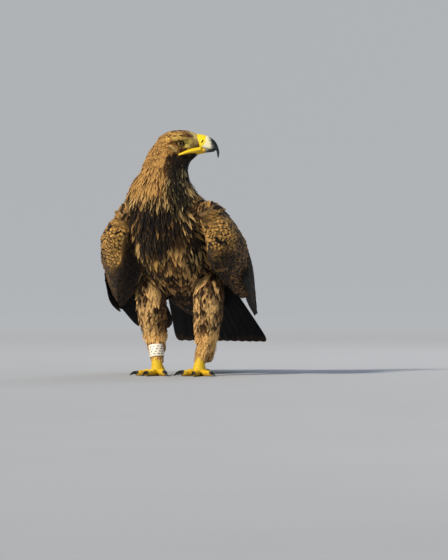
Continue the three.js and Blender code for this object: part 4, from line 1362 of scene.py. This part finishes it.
class Quills:
    """Flight feathers that go into one piece: thin closed vanes, with their vane map, their tints and
    their cells on a square bake map of cells by cells."""

    def __init__(self, cells):
        self.parts, self.vanes, self.patches, self.tints, self.rims, self.marks = [], [], [], [], [], []
        self.cells = cells

    def add(self, spine, leading, trailing, out, thick, tint, rim, mark):
        """The spine's points, how far the leading and trailing edges lie from each, and the way out there."""
        rows, columns = len(QUILL_V), len(VANE_COLUMNS)
        v = QUILL_V[:, None]
        u = VANE_COLUMNS[None, :, None]
        offset = np.where(u < 0, leading[:, None], trailing[:, None]) * np.abs(u)
        shaft = SHAFT_HIGH * np.exp(-((VANE_COLUMNS / SHAFT_WIDE) ** 2))[None] * (1 - 0.8 * v)
        upper = spine[:, None] + offset + out[:, None] * (shaft - VANE_SINK * VANE_COLUMNS**2)[..., None]
        lower = upper - out[:, None] * (thick * (1.15 - np.abs(u)))
        points = np.vstack([upper.reshape(-1, 3), lower.reshape(-1, 3)])
        across = np.tile(VANE_COLUMNS * 0.5 + 0.5, rows)
        vane = np.tile(np.stack([across, QUILL_V.repeat(columns)], 1), (2, 1))
        row, column = divmod(len(self.parts), self.cells)
        underside = np.repeat([0.0, 0.5], rows * columns)
        patch_x = (column + PATCH_EDGE + PATCH_WIDE * vane[:, 0] + underside) / self.cells
        patch_y = (row + PATCH_EDGE + PATCH_HIGH * vane[:, 1]) / self.cells
        self.parts.append((points, plate_faces(rows, columns)))
        self.vanes.append(vane)
        self.patches.append(np.stack([patch_x, patch_y], 1))
        for values, one in ((self.tints, tint), (self.rims, rim), (self.marks, mark)):
            values.append(np.tile(one, (len(points), 1)))

    def finished(self, name, material, slot, *nodes):
        points, faces = joined(self.parts)
        made = mesh_object(name, at(points), faces)
        keep_tint(made, np.vstack(self.tints))
        keep_colour(made, "rim", np.vstack(self.rims))
        keep_values(made, "mark", np.vstack(self.marks))
        corners = np.empty(len(made.data.loops), int)
        made.data.loops.foreach_get("vertex_index", corners)
        for layer, values in (("vane", self.vanes), ("OFBake", self.patches)):
            uv = made.data.uv_layers.new(name=layer)
            uv.data.foreach_set("uv", np.vstack(values)[corners].ravel())
        return dressed(facing_out(made), material, slot, *nodes)


QUILL_DARK = paint(0.06, 0.045, 0.037)
QUILL_EDGE = paint(0.26, 0.19, 0.12)
COVERT_DARK = paint(0.095, 0.068, 0.05)
COVERT_EDGE = paint(0.52, 0.40, 0.25)
# Tint, rim and the rim's width of the quills' kinds
PRIMARY_LOOK = (QUILL_DARK, QUILL_EDGE, 0.10)
SECONDARY_LOOK = (QUILL_DARK * 1.15, QUILL_EDGE, 0.13)
PRIMARY_COVERT_LOOK = (QUILL_DARK, COVERT_EDGE, 0.10)
GREATER_COVERT_LOOK = (COVERT_DARK, COVERT_EDGE, 0.16)
QUILL_ROLL, QUILL_THICK, QUILL_STREAK = 0.13, 0.6, 0.12


def wing_quill(quills, side, root, tip, depths, widths, look, sharp, dice):
    """One feather on a folded wing: root and tip as (s, t), depths at both, half widths towards the
    lower and the upper edge in millimetres, a quill's look, how square its tip is."""
    v = QUILL_V
    s = root[0] + (tip[0] - root[0]) * v
    t = root[1] + (tip[1] - root[1]) * (0.65 * v + 0.35 * v * v)
    depth = depths[0] + (depths[1] - depths[0]) * smoothstep(0, 0.45, v)
    spine = wing_point(side, s, t, depth)
    up = unit(wing_point(side, s, t + 0.02, depth) - wing_point(side, s, t - 0.02, depth))
    out = unit(wing_point(side, s, t, depth - 1) - wing_point(side, s, t, depth + 1))
    shape = (tip_rounding(v, sharp) * (0.45 + 0.55 * smoothstep(0, 0.35, v)))[:, None]
    leading = (-up + out * QUILL_ROLL) * widths[0] * shape
    trailing = (up - out * QUILL_ROLL) * widths[1] * shape
    tint, rim, rim_wide = look
    tint = tint * dice.uniform(0.75, 1.25)
    mark = [rim_wide, QUILL_STREAK, dice.uniform()]
    rim = rim * dice.uniform(0.7, 1.2)
    quills.add(spine, leading, trailing, out, QUILL_THICK, tint, rim, mark)


def spread_over(count, make):
    """make(share) for feathers side by side, from the lower edge up."""
    for number in range(count):
        make((number + 0.5) / count)


def make_wing_quills(side):
    dice = np.random.default_rng(WING_SEED + side)
    name = SIDE_NAME[side]
    lower, upper, coverts = Quills(4), Quills(4), Quills(6)

    def primary(share):
        root = (0.34, 0.12 + 0.3 * share)
        tip = (0.7 + 0.29 * math.sin(1.9 * share), 0.02 + 0.66 * share**1.3)
        wing_quill(lower, side, root, tip, (17, 6.4), (6, 15), PRIMARY_LOOK, 7, dice)

    def secondary(share):
        root = (0.44, 0.3 + 0.6 * share)
        tip = (0.86 - 0.07 * share, 0.26 + 0.72 * share)
        wing_quill(upper, side, root, tip, (11, 2.2), (9, 17), SECONDARY_LOOK, 6, dice)

    def primary_covert(share):
        root = (0.30, 0.04 + 0.16 * share)
        tip = (0.53 + 0.06 * share, 0.02 + 0.18 * share)
        wing_quill(coverts, side, root, tip, (8, 2.0), (6, 9), PRIMARY_COVERT_LOOK, 4, dice)

    def greater_covert(share):
        root = (0.33, 0.12 + 0.78 * share)
        tip = (0.60 + 0.05 * math.sin(3 * share), 0.10 + 0.82 * share)
        wing_quill(coverts, side, root, tip, (4.5, 0.8), (9, 12), GREATER_COVERT_LOOK, 4, dice)

    spread_over(8, primary)
    spread_over(9, secondary)
    spread_over(5, primary_covert)
    spread_over(13, greater_covert)
    lower.finished(f"quills_{name}_primaries", DARK, "plumage_dark", f"wing_{name}_primaries")
    upper.finished(f"quills_{name}_secondaries", DARK, "plumage_dark", f"wing_{name}_secondaries")
    coverts.finished(f"quills_{name}_greater_coverts", BROWN, "plumage_brown")


TAIL_FEATHERS = 12
TAIL_ROOT = np.array([-4.0, 168.0, 196.0])
TAIL_TIP = np.array([-8.0, 385.0, 66.0])
TAIL_HALF_WIDTH, TAIL_ROOT_HALF = 108, 74  # of the whole tail, at its tip and at its root


def make_tail():
    """The tail's feathers, side by side in a shallow arch that falls to both sides."""
    dice = np.random.default_rng(TAIL_SEED)
    length = np.linalg.norm(TAIL_TIP - TAIL_ROOT)
    down = (TAIL_TIP - TAIL_ROOT) / length
    sideways = unit(X - down[0] * down)
    up = np.cross(sideways, down)
    ups = np.tile(up, (len(QUILL_V), 1))
    spread = math.asin((TAIL_HALF_WIDTH - TAIL_ROOT_HALF) / length)
    quills = Quills(4)
    v = 1.03 * QUILL_V - 0.03
    width = (tip_rounding(QUILL_V, 18, 0.45) * (0.6 + 0.4 * v))[:, None]
    for number in range(TAIL_FEATHERS):
        share = (2 * number + 1) / TAIL_FEATHERS - 1
        angle = spread * share
        reach = v * (1 - 0.045 * share**2)  # the outer feathers end a little sooner
        arch = 3 - 6 * share**2 * v + 4 * v * (1 - v) - 2.2 * abs(share)
        spine = TAIL_ROOT + np.outer(TAIL_ROOT_HALF * share + length * reach * math.sin(angle), sideways)
        spine = spine + np.outer(length * reach * math.cos(angle), down) + np.outer(arch, up)
        across = sideways * math.cos(angle) - down * math.sin(angle)
        outward = across * (1 if share > 0 else -1)
        outer_half = min(17.0, TAIL_HALF_WIDTH * (1 - abs(share)) + 3.0)
        outer = (outward + up * 0.03) * outer_half * width
        inner = (-outward + up * 0.02) * 19 * width
        leading, trailing = (inner, outer) if share > 0 else (outer, inner)
        tint = QUILL_DARK * dice.uniform(0.85, 1.2)
        mark = [0.10, 0.10, dice.uniform()]
        quills.add(spine, leading, trailing, ups, 0.8, tint, QUILL_EDGE, mark)
    quills.finished("quills_tail", DARK, "plumage_dark", "tail")


# ------------------------------------------------------------------ bill and cere
# In profile, in the head's frame: x and z on the ridge, x and z on the mouth line, half width there
CERE_ROWS = [
    [42.5, 23.7, 53, -10, 14.2],
    [48, 23.0, 54.5, -9.8, 13.8],
    [55, 21.9, 56.5, -9.5, 13.2],
    [62, 20.2, 58.5, -9.3, 12.3],
]
UPPER_BILL = [
    [61.8, 20.2, 57.8, -9.3, 12.1],
    [70, 17.4, 67, -10.4, 10.8],
    [77.5, 12.9, 76, -11.6, 9.2],
    [84, 5.8, 81.5, -12.2, 7.4],
    [88.4, -3, 85, -13, 5.6],
    [90.9, -11.5, 86.2, -16.4, 4],
    [91.5, -19, 86.8, -21.2, 2.7],
    [90.6, -24.5, 87.7, -25.3, 1.5],
    [89, -28.6, 88.4, -28.7, 0.5],
]
LOWER_BILL = [
    [36, -9, 40, -22.5, 9.5],
    [49, -7.5, 50, -19.8, 10],
    [62, -6, 62, -17.3, 9.2],
    [73, -8, 73, -15.8, 7],
    [81, -10, 81, -14.6, 4],
]
# One side of the fleshy gape: x, y, z, half width, reach up, reach down
GAPE = [
    [6, 20.5, -22.4, 2.2, 1.6, 1.6],
    [15, 20.8, -19.6, 3, 3.2, 2.8],
    [27, 18, -15.4, 3.3, 4.6, 3.9],
    [40, 14, -11.8, 3.5, 5.2, 6.4],
    [54, 10.5, -9, 3.4, 4.4, 4.6],
]
NOSTRIL = {"forward": 57.0, "up": 7.0, "slant": math.radians(58)}
# The nostril's slit and the brim round it: half length, half width, how deep or high
SLIT = (3.6, 1.15, 2.4)
BRIM = (4.4, 1.0, 0.5)
BRIM_OFF = 2.2  # from the slit's middle to the brim's crest
HORN_EDGE = (-1.2, 0.8)  # how softly the cere's colour gives way to horn
CERE_VOXEL = 0.0008  # metres


def blade_rings(rows, steps, sides, belly=0.78):
    """Rings that hang from a ridge line down to a mouth line, like a bill's, widest at the belly's share."""
    row = smooth_row(rows, np.linspace(0, 1, steps + 1))
    none = np.zeros(len(row))
    top = np.stack([row[:, 0], none, row[:, 1]], 1)
    foot = np.stack([row[:, 2], none, row[:, 3]], 1)
    middle = top + (foot - top) * belly
    up = unit(top - foot)
    angle = 2 * np.pi * np.arange(sides) / sides
    above = np.linalg.norm(middle - top, axis=1)[:, None]
    below = np.linalg.norm(middle - foot, axis=1)[:, None]
    height = np.where(np.sin(angle)[None] > 0, above, below) * np.sin(angle)[None]
    rings = middle[:, None] + height[..., None] * up[:, None]
    rings[..., 1] = row[:, 4:5] * np.cos(angle)[None]
    return rings


HORN_PALE = paint(0.90, 0.87, 0.73)
HORN_GREY = paint(0.42, 0.44, 0.44)
HORN_BLACK = paint(0.03, 0.03, 0.035)
CERE_YELLOW = paint(0.95, 0.84, 0.08)
CERE_DEEP = paint(0.90, 0.71, 0.03)
CERE_SHADED = paint(0.72, 0.52, 0.05)
# painted shade in the nostril's slit
SLIT_DARK = paint(0.16, 0.10, 0.05)


def before_horn(x, z):
    """How far in front of the cere's edge a point of the bill lies: the edge runs back under the nostril."""
    return x - (63.6 - 6.5 * smoothstep(5, -3, z) + 7 * smoothstep(-8, -12, z))


def make_bill():
    """The horn of both jaws: pale or yellow by the cere, then grey, and black towards the tip."""
    points, faces = tube(blade_rings(UPPER_BILL, 60, 36))
    made = mesh_object("bill_upper_horn", head_at(points), faces)
    x, _, z = points.T
    ragged = 1.1 * np.sin(z * 0.9) + 0.8 * np.sin(z * 2.1 + 1.0)
    reach = x + 0.30 * np.maximum(z, -14) + 6 * smoothstep(-4, -13, z) + ragged
    tint = blend_tints(smoothstep(*HORN_EDGE, before_horn(x, z)), CERE_YELLOW, HORN_PALE)
    tint = blend_tints(smoothstep(71, 78, reach), tint, HORN_GREY)
    keep_tint(made, blend_tints(smoothstep(75, 80.5, reach), tint, HORN_BLACK))
    dressed(facing_out(made), HORN, "horn", "bill_upper")

    points, faces = tube(blade_rings(LOWER_BILL, 36, 28, belly=0.4))
    made = mesh_object("bill_lower_horn", head_at(points), faces)
    x = points[:, 0]
    tint = blend_tints(smoothstep(57, 66, x), CERE_DEEP, HORN_GREY)
    keep_tint(made, blend_tints(smoothstep(65, 73, x), tint, HORN_BLACK))
    dressed(facing_out(made), HORN, "horn", "bill_lower")


def make_cere():
    """The waxy cere with its nostrils, melted into one piece with the fleshy gape on both sides."""
    bodies = [tube(blade_rings(CERE_ROWS, 16, 40))]
    for side in (LEFT, RIGHT):
        rows = [[x, side * y, *rest] for x, y, *rest in GAPE]
        bodies.append(tube(oval_rings(rows, 24, 14, Y)[0]))
    points, faces = joined(bodies)
    cere = blended(facing_out(mesh_object("cere_and_gape", head_at(points), faces)), CERE_VOXEL, 6)
    x, y, z = in_heads_frame((points_of(cere) - head_at([0, 0, 0])) / MM).T
    c, s = math.cos(NOSTRIL["slant"]), math.sin(NOSTRIL["slant"])
    ahead, above = x - NOSTRIL["forward"], z - NOSTRIL["up"]
    along = ahead * c + above * s
    over = -ahead * s + above * c
    flank = np.abs(y) > 4
    slit = np.exp(-((along / SLIT[0]) ** 4) - (over / SLIT[1]) ** 2) * flank
    brim = np.exp(-((along / BRIM[0]) ** 4) - ((np.abs(over) - BRIM_OFF) / BRIM[1]) ** 2) * flank
    relief = BRIM[2] * brim - SLIT[2] * slit
    set_points(cere, points_of(cere) + normals_of(cere) * relief[:, None] * MM)
    gape = np.array(GAPE)
    lip = np.interp(x, gape[:, 0], gape[:, 2])
    under = smoothstep(0.6, -2.4, z - lip) * smoothstep(60, 50, x)
    rear = smoothstep(3.5, 0, x - 43 + 0.33 * (z - 22)) * (z > lip + 3)
    deeper = 0.3 * smoothstep(14, 24, z) + 0.2 * smoothstep(8, -8, z)
    tint = blend_tints(deeper, CERE_YELLOW, CERE_DEEP)
    tint = blend_tints(np.clip(0.75 * under + 0.5 * rear, 0, 1), tint, CERE_SHADED)
    tint = blend_tints(smoothstep(*HORN_EDGE, before_horn(x, z)), tint, HORN_PALE)
    # painted shade darkens the nostril's slit
    keep_tint(cere, blend_tints(np.clip(slit * 1.6, 0, 1), tint, SLIT_DARK))
    dressed(cere, CERE_SKIN, "yellow_skin", "cere")


# ------------------------------------------------------------------ eyes and lids
GAZE = np.array([0.40, 0.91, -0.04])  # of the left eye, in the head's frame
CORNEA_HIGH, CORNEA_WIDE = 0.07, 0.55  # for the eye's radius, and in radians from the gaze
EYE_RINGS, EYE_SIDES = 40, 40
IRIS_OUTER, IRIS_INNER = 0.62, 0.33  # sines of the angles from the gaze
IRIS_HAZEL = paint(0.62, 0.51, 0.28)
IRIS_DEEP = paint(0.34, 0.21, 0.09)
EYE_BLACK = paint(0.008, 0.006, 0.006)
EYE_WHITE = paint(0.16, 0.11, 0.09)  # in the shade of the lids
LID_DARK = paint(0.12, 0.085, 0.06)
LID_BROWN = paint(0.40, 0.28, 0.14)
LID_PALE = paint(0.66, 0.54, 0.27)


def eye_radius(polar):
    """From the eye's centre to its face, by the angle from the gaze."""
    return EYE_RADIUS * (1 + CORNEA_HIGH * np.exp(-((polar / CORNEA_WIDE) ** 4)))


def make_eye(side):
    """An eyeball with its cornea, iris and pupil, and the lids that hold it."""
    centre = eye_at(side)
    gaze = unit(GAZE * (1, side, 1))
    right = unit(np.cross(Z, gaze))
    up = np.cross(gaze, right)
    polar = np.pi * (np.arange(EYE_RINGS) + 0.5) / EYE_RINGS
    turn = 2 * np.pi * np.arange(EYE_SIDES) / EYE_SIDES
    sine = np.sin(polar)
    round_gaze = np.cos(turn)[None, :, None] * right + np.sin(turn)[None, :, None] * up
    way = np.cos(polar)[:, None, None] * gaze + sine[:, None, None] * round_gaze
    points, faces = tube(centre + way * eye_radius(polar)[:, None, None])
    name = SIDE_NAME[side]
    eye = mesh_object(f"eyeball_{name}", head_at(points), faces)
    front = np.append(np.where(np.cos(polar) > 0, sine, 1.0).repeat(EYE_SIDES), [0.0, 1.0])
    tint = blend_tints(smoothstep(IRIS_INNER, IRIS_OUTER, front), IRIS_HAZEL, IRIS_DEEP)
    tint = blend_tints(smoothstep(IRIS_INNER + 0.03, IRIS_INNER - 0.02, front), tint, EYE_BLACK)
    keep_tint(eye, blend_tints(smoothstep(IRIS_OUTER - 0.02, IRIS_OUTER + 0.05, front), tint, EYE_WHITE))
    dressed(facing_out(eye), EYE, "iris", f"eye_{name}")
    make_lids(name, centre, gaze, right, up)


OPENING = {"half": 0.80, "above": 0.33, "below": 0.52, "tilt": 0.06}  # as sines of angles from the gaze
LID_REACH = math.radians(74)  # how far from the gaze the lids run in under the feathers
LID_SIDES = 72
LID_STEPS, LID_STEPS_BACK = 14, 6  # rings over the lids' outside, and back along their inside
LID_ROLL = {"high": 0.95, "at": 0.13, "wide": 0.11}  # the rolled edge, with its place on the way outwards


def make_lids(name, centre, gaze, right, up):
    """Both lids as one soft ring: a rolled edge round the almond opening, a crease, then skin that runs
    out under the feathers."""
    turn = 2 * np.pi * np.arange(LID_SIDES) / LID_SIDES
    level, upright = np.cos(turn)[:, None], np.sin(turn)[:, None]
    rise = np.where(upright > 0, OPENING["above"], OPENING["below"]) * upright * np.abs(upright) ** 0.15
    x = OPENING["half"] * level
    y = rise + OPENING["tilt"] * level
    edge = x * right + y * up + np.sqrt(1 - x**2 - y**2) * gaze
    far = (level * right + upright * up) * math.sin(LID_REACH) + gaze * math.cos(LID_REACH)
    heavy = LID_ROLL["high"] * (1 + 0.5 * np.maximum(upright, 0))
    lower = smoothstep(0.1, -0.5, upright[:, 0])
    skin_tint = blend_tints(lower, LID_BROWN, LID_PALE)
    outside = [(share, True) for share in np.linspace(0, 1, LID_STEPS)]
    inside = [(share, False) for share in np.linspace(1, 0, LID_STEPS_BACK)]
    loops, shades = [], []
    for share, outer in outside + inside:
        way = unit(edge * (1 - share) + far * share)
        polar = np.arccos(np.clip(way @ gaze, -1, 1))[:, None]
        rolled = heavy * np.exp(-(((share - LID_ROLL["at"]) / LID_ROLL["wide"]) ** 2))
        thick = 0.45 + rolled + 2.2 * share**1.6 if outer else 0.1
        loops.append(centre + way * (eye_radius(polar) + thick))
        dark = np.full(LID_SIDES, smoothstep(0.30, 0.06, share) * 0.9)
        shades.append(blend_tints(dark, skin_tint, LID_DARK))
    faces = band_faces(len(loops), LID_SIDES, closed=True)
    lid = mesh_object(f"eyelids_{name}", head_at(np.vstack(loops)), faces)
    keep_tint(lid, np.vstack(shades))
    dressed(facing_out(lid), LID_SKIN, "plumage_brown")


# ------------------------------------------------------------------ feet
# Toes of the left foot: degrees outwards from straight ahead, toe's length, claw's reach, radius
TOES = {
    "inner": (-34, 40, 25, 8.0),
    "middle": (6, 57, 22, 7.8),
    "outer": (47, 45, 19, 7.4),
    "hind": (170, 31, 28, 8.2),
}
FOOT_VOXEL = 0.0011  # metres
TOE_ROOT = 8  # from the palm's middle to where a toe starts
TOE_ROWS = 15
TOE_WAVES = 5  # half waves of its pads along a toe
# The ankle and palm, from inside the shank's feathers down: x outwards and y from the palm's middle, z,
# half width, reach forwards, reach backwards
ANKLE = [
    [4.5, -1, 46, 5, 5, 5],
    [3.5, -1.5, 38, 8, 8, 8],
    [2.5, -1.5, 31, 10.6, 10.6, 10.6],
    [1.4, -1, 22, 12.6, 13.5, 13],
    [0.4, 0, 13, 15, 18, 17],
    [0, 0, 5, 14.5, 18, 17],
    [0, 0, 0.8, 10, 12, 12],
]
CLAW_BEND, CLAW_LEAN = math.radians(96), math.radians(18)  # how far a claw bends, and rises at first
CLAW_ROWS = 9
FOOT_YELLOW = paint(0.92, 0.77, 0.09)
FOOT_DEEP = paint(0.68, 0.47, 0.05)


def palm_at(side):
    return np.array([STANCE[0] + side * FOOT_OUT, STANCE[1], 0.0])


def heading(side, turn):
    """The way on the floor at some degrees outwards from straight ahead."""
    angle = math.radians(turn)
    return np.array([side * math.sin(angle), -math.cos(angle), 0])


def toe_rows(side, turn, length, radius):
    """A toe's rows from its root on, with pads along its sole, and the way across it."""
    ahead = heading(side, turn)
    start = palm_at(side) + ahead * TOE_ROOT
    rows = []
    for v in np.arange(TOE_ROWS) / (TOE_ROWS - 1):
        pads = 1 + 0.09 * math.cos(v * math.pi * TOE_WAVES)
        thick = radius * (1 - 0.2 * v) * pads * math.sqrt(max(0.2, 1 - (1.08 * v) ** 10))
        middle = start + ahead * length * v
        rows.append([middle[0], middle[1], 0.86 * thick + 0.6 * v, thick, thick, thick])
    return rows, np.cross(Z, ahead)


def make_foot(side):
    """Ankle, palm and toes, melted into one scaly skin that stands on the floor."""
    name = SIDE_NAME[side]
    bodies = []
    for turn, length, _, radius in TOES.values():
        rows, across = toe_rows(side, turn, length, radius)
        bodies.append(tube(oval_rings(rows, 36, 20, across)[0]))
    bodies.append(tube(oval_rings(carried(ANKLE, side, palm_at(side)), 24, 28, X)[0]))
    points, faces = joined(bodies)
    foot = blended(facing_out(mesh_object(f"foot_skin_{name}", at(points), faces)), FOOT_VOXEL, 5)
    grounded = points_of(foot)
    grounded[:, 2] = np.maximum(grounded[:, 2], 0.0)
    set_points(foot, grounded)
    height = (grounded[:, 2] - ORIGIN[2]) / MM
    # darker towards the floor
    keep_tint(foot, blend_tints(0.8 * smoothstep(9, 2, height), FOOT_YELLOW, FOOT_DEEP))
    dressed(foot, SCALES, "yellow_skin", f"foot_{name}", *(f"toe_{name}_{toe}" for toe in TOES))


# One scute: how far along the toe and how proud of it each of its rows of points is, and round what arc
SCUTE_SHIFT = (-1.0, -0.5, 0.2, 0.8, 1.0)
SCUTE_PROUD = (0.1, 0.55, 0.7, 0.75, 0.1)
SCUTE_ARC = np.radians(np.linspace(22, 158, 9))
SCUTE_RIM = 1 - 0.75 * np.abs(np.linspace(-1, 1, 9)) ** 6
SCUTE_THICK, SCUTE_PITCH = 0.9, 5.2
SCUTE_SEED = 3


def make_scutes(side):
    """The broad plates across the top of each toe."""
    plates = []
    for turn, length, _, radius in TOES.values():
        rows, across = toe_rows(side, turn, length, radius)
        ahead = heading(side, turn)
        count = max(5, round(length / SCUTE_PITCH))
        half = length * 0.62 / count * 0.56
        for number in range(count):
            row = smooth_row(rows, 0.30 + 0.62 * (number + 0.5) / count)
            grid = []
            for step, rise in zip(SCUTE_SHIFT, SCUTE_PROUD):
                reach = row[3] + rise * SCUTE_RIM
                ring = row[:3] + ahead * step * half
                ring = ring + np.outer(np.cos(SCUTE_ARC) * reach, across)
                grid.append(ring + np.outer(np.sin(SCUTE_ARC) * reach, Z))
            plates.append(shell(np.array(grid), SCUTE_THICK, row[:3]))
    points, faces = joined(plates)
    made = mesh_object(f"toe_scutes_{SIDE_NAME[side]}", at(points), faces)
    dice = np.random.default_rng(SCUTE_SEED + side)
    shade = dice.uniform(0, 0.5, len(plates)).repeat(len(plates[0][0]))
    keep_tint(made, blend_tints(shade, FOOT_YELLOW * 1.05, FOOT_DEEP))
    dressed(facing_out(made), SCUTES, "yellow_skin")


def shell(grid, thick, towards):
    """A closed plate: a grid of points (rows, columns, 3) and the same sunk towards a point."""
    sunk = grid + unit(towards - grid) * thick
    return np.vstack([grid.reshape(-1, 3), sunk.reshape(-1, 3)]), plate_faces(*grid.shape[:2])


def make_claws(side):
    """One curved claw on each toe, with its tip on the floor."""
    name = SIDE_NAME[side]
    rise = math.sin(CLAW_LEAN)
    low = math.cos(CLAW_BEND - CLAW_LEAN)
    for toe, (turn, length, reach, radius) in TOES.items():
        ahead = heading(side, turn)
        root = palm_at(side) + ahead * (TOE_ROOT + length - 5)
        bow = reach / (math.sin(CLAW_BEND - CLAW_LEAN) + rise)
        rows = []
        for v in np.arange(CLAW_ROWS) / (CLAW_ROWS - 1):
            angle = CLAW_BEND * v - CLAW_LEAN
            middle = root + ahead * bow * (math.sin(angle) + rise)
            thick = 0.56 * radius * (1 - v) ** 0.75 + 0.5
            height = 0.52 * bow * (math.cos(angle) - low) + 0.9
            rows.append([middle[0], middle[1], height, thick * 0.8, thick, thick * 0.85])
        points, faces = tube(oval_rings(rows, 28, 16, np.cross(Z, ahead))[0])
        points[:, 2] = np.maximum(points[:, 2], 0.0)
        claw = mesh_object(f"claw_horn_{name}_{toe}", at(points), faces)
        along = (points[:, :2] - root[:2]) @ ahead[:2]
        keep_tint(claw, blend_tints(smoothstep(0, reach * 0.45, along), HORN_GREY * 0.5, HORN_BLACK))
        dressed(facing_out(claw), HORN, "horn", f"claw_{name}_{toe}")


# ------------------------------------------------------------------ leg ring
# The ring: how high it sits, how high it is, its inner radius, its wall and its rounded edge
RING = {"bottom": 39, "height": 27, "inner": 14.6, "wall": 1.3, "edge": 0.35}
RING_SIDES = 72
# The bars in four rows round it: the rows' heights, bars in each, lengths in radians in turn, the bars'
# rise from their middle, how far they stand proud of the ring and how thick they are
BAR_HEIGHTS = (5.0, 10.5, 16.0, 21.5)
BARS = 11
BAR_LONG = (0.36, 0.20, 0.28)
BAR_RISE = (-0.9, -0.3, 0.3, 0.9)
BAR_PROUD, BAR_THICK = 0.06, 0.3
RING_WHITE = paint(0.93, 0.91, 0.86)
RING_INK = paint(0.12, 0.11, 0.11)


def make_ring():
    """A white band round the right shank, with plain bars all round it in four rows."""
    rows = carried(SHANK, RIGHT, LEGS_AT)
    low, high = smooth_row(rows, 0.9)[:3], smooth_row(rows, 0.55)[:3]
    axis = unit(high - low)
    start = low + axis * (RING["bottom"] - low[2]) / axis[2]
    side = unit(np.cross(Y, axis))
    front = np.cross(axis, side)
    inner, edge, height = RING["inner"], RING["edge"], RING["height"]
    outer = inner + RING["wall"]

    def on_band(angle, up, radius):
        way = np.outer(np.cos(angle), side) + np.outer(np.sin(angle), front)
        return start + way * radius + up * axis

    angle = np.linspace(0, 2 * np.pi, RING_SIDES, endpoint=False)
    section = [
        (inner, 0.5 * edge),
        (inner + edge, 0.0),
        (outer - edge, 0.0),
        (outer, edge),
        (outer, height - edge),
        (outer - edge, height),
        (inner + edge, height),
        (inner, height - 0.5 * edge),
    ]
    loops = np.vstack([on_band(angle, up, radius) for radius, up in section])
    parts = [(loops, band_faces(len(section), RING_SIDES, closed=True))]
    tints = [np.tile(RING_WHITE, (len(loops), 1))]
    for row, up in enumerate(BAR_HEIGHTS):
        for number in range(BARS):
            turn = 2 * np.pi * (number + 0.35 * row) / BARS
            span = np.linspace(turn, turn + BAR_LONG[number % len(BAR_LONG)], 6)
            grid = np.array([on_band(span, up + rise, outer + BAR_PROUD) for rise in BAR_RISE])
            bar = shell(grid, BAR_THICK, start + axis * up)
            parts.append(bar)
            tints.append(np.tile(RING_INK, (len(bar[0]), 1)))
    points, faces = joined(parts)
    ring = mesh_object("leg_band", at(points), faces)
    keep_tint(ring, np.vstack(tints))
    dressed(facing_out(ring), BAND, "ring", "leg_ring")


# ------------------------------------------------------------------ the bird and its stage
make_camera()
make_lights()
make_stage()

skin = make_skin()
coat_group = coat_tree()
for tract in TRACTS:
    make_coat(skin, coat_group, tract)
for name in ("out", "lie", "sizes", "manner", "edging", "ground", "pale", "tract"):
    skin.data.attributes.remove(skin.data.attributes[name])
dressed(skin, SKIN, "plumage_brown", *FLESH_NODES)

for side in (LEFT, RIGHT):
    make_wing_quills(side)
    make_eye(side)
    make_foot(side)
    make_scutes(side)
    make_claws(side)
make_tail()
make_bill()
make_cere()
make_ring()
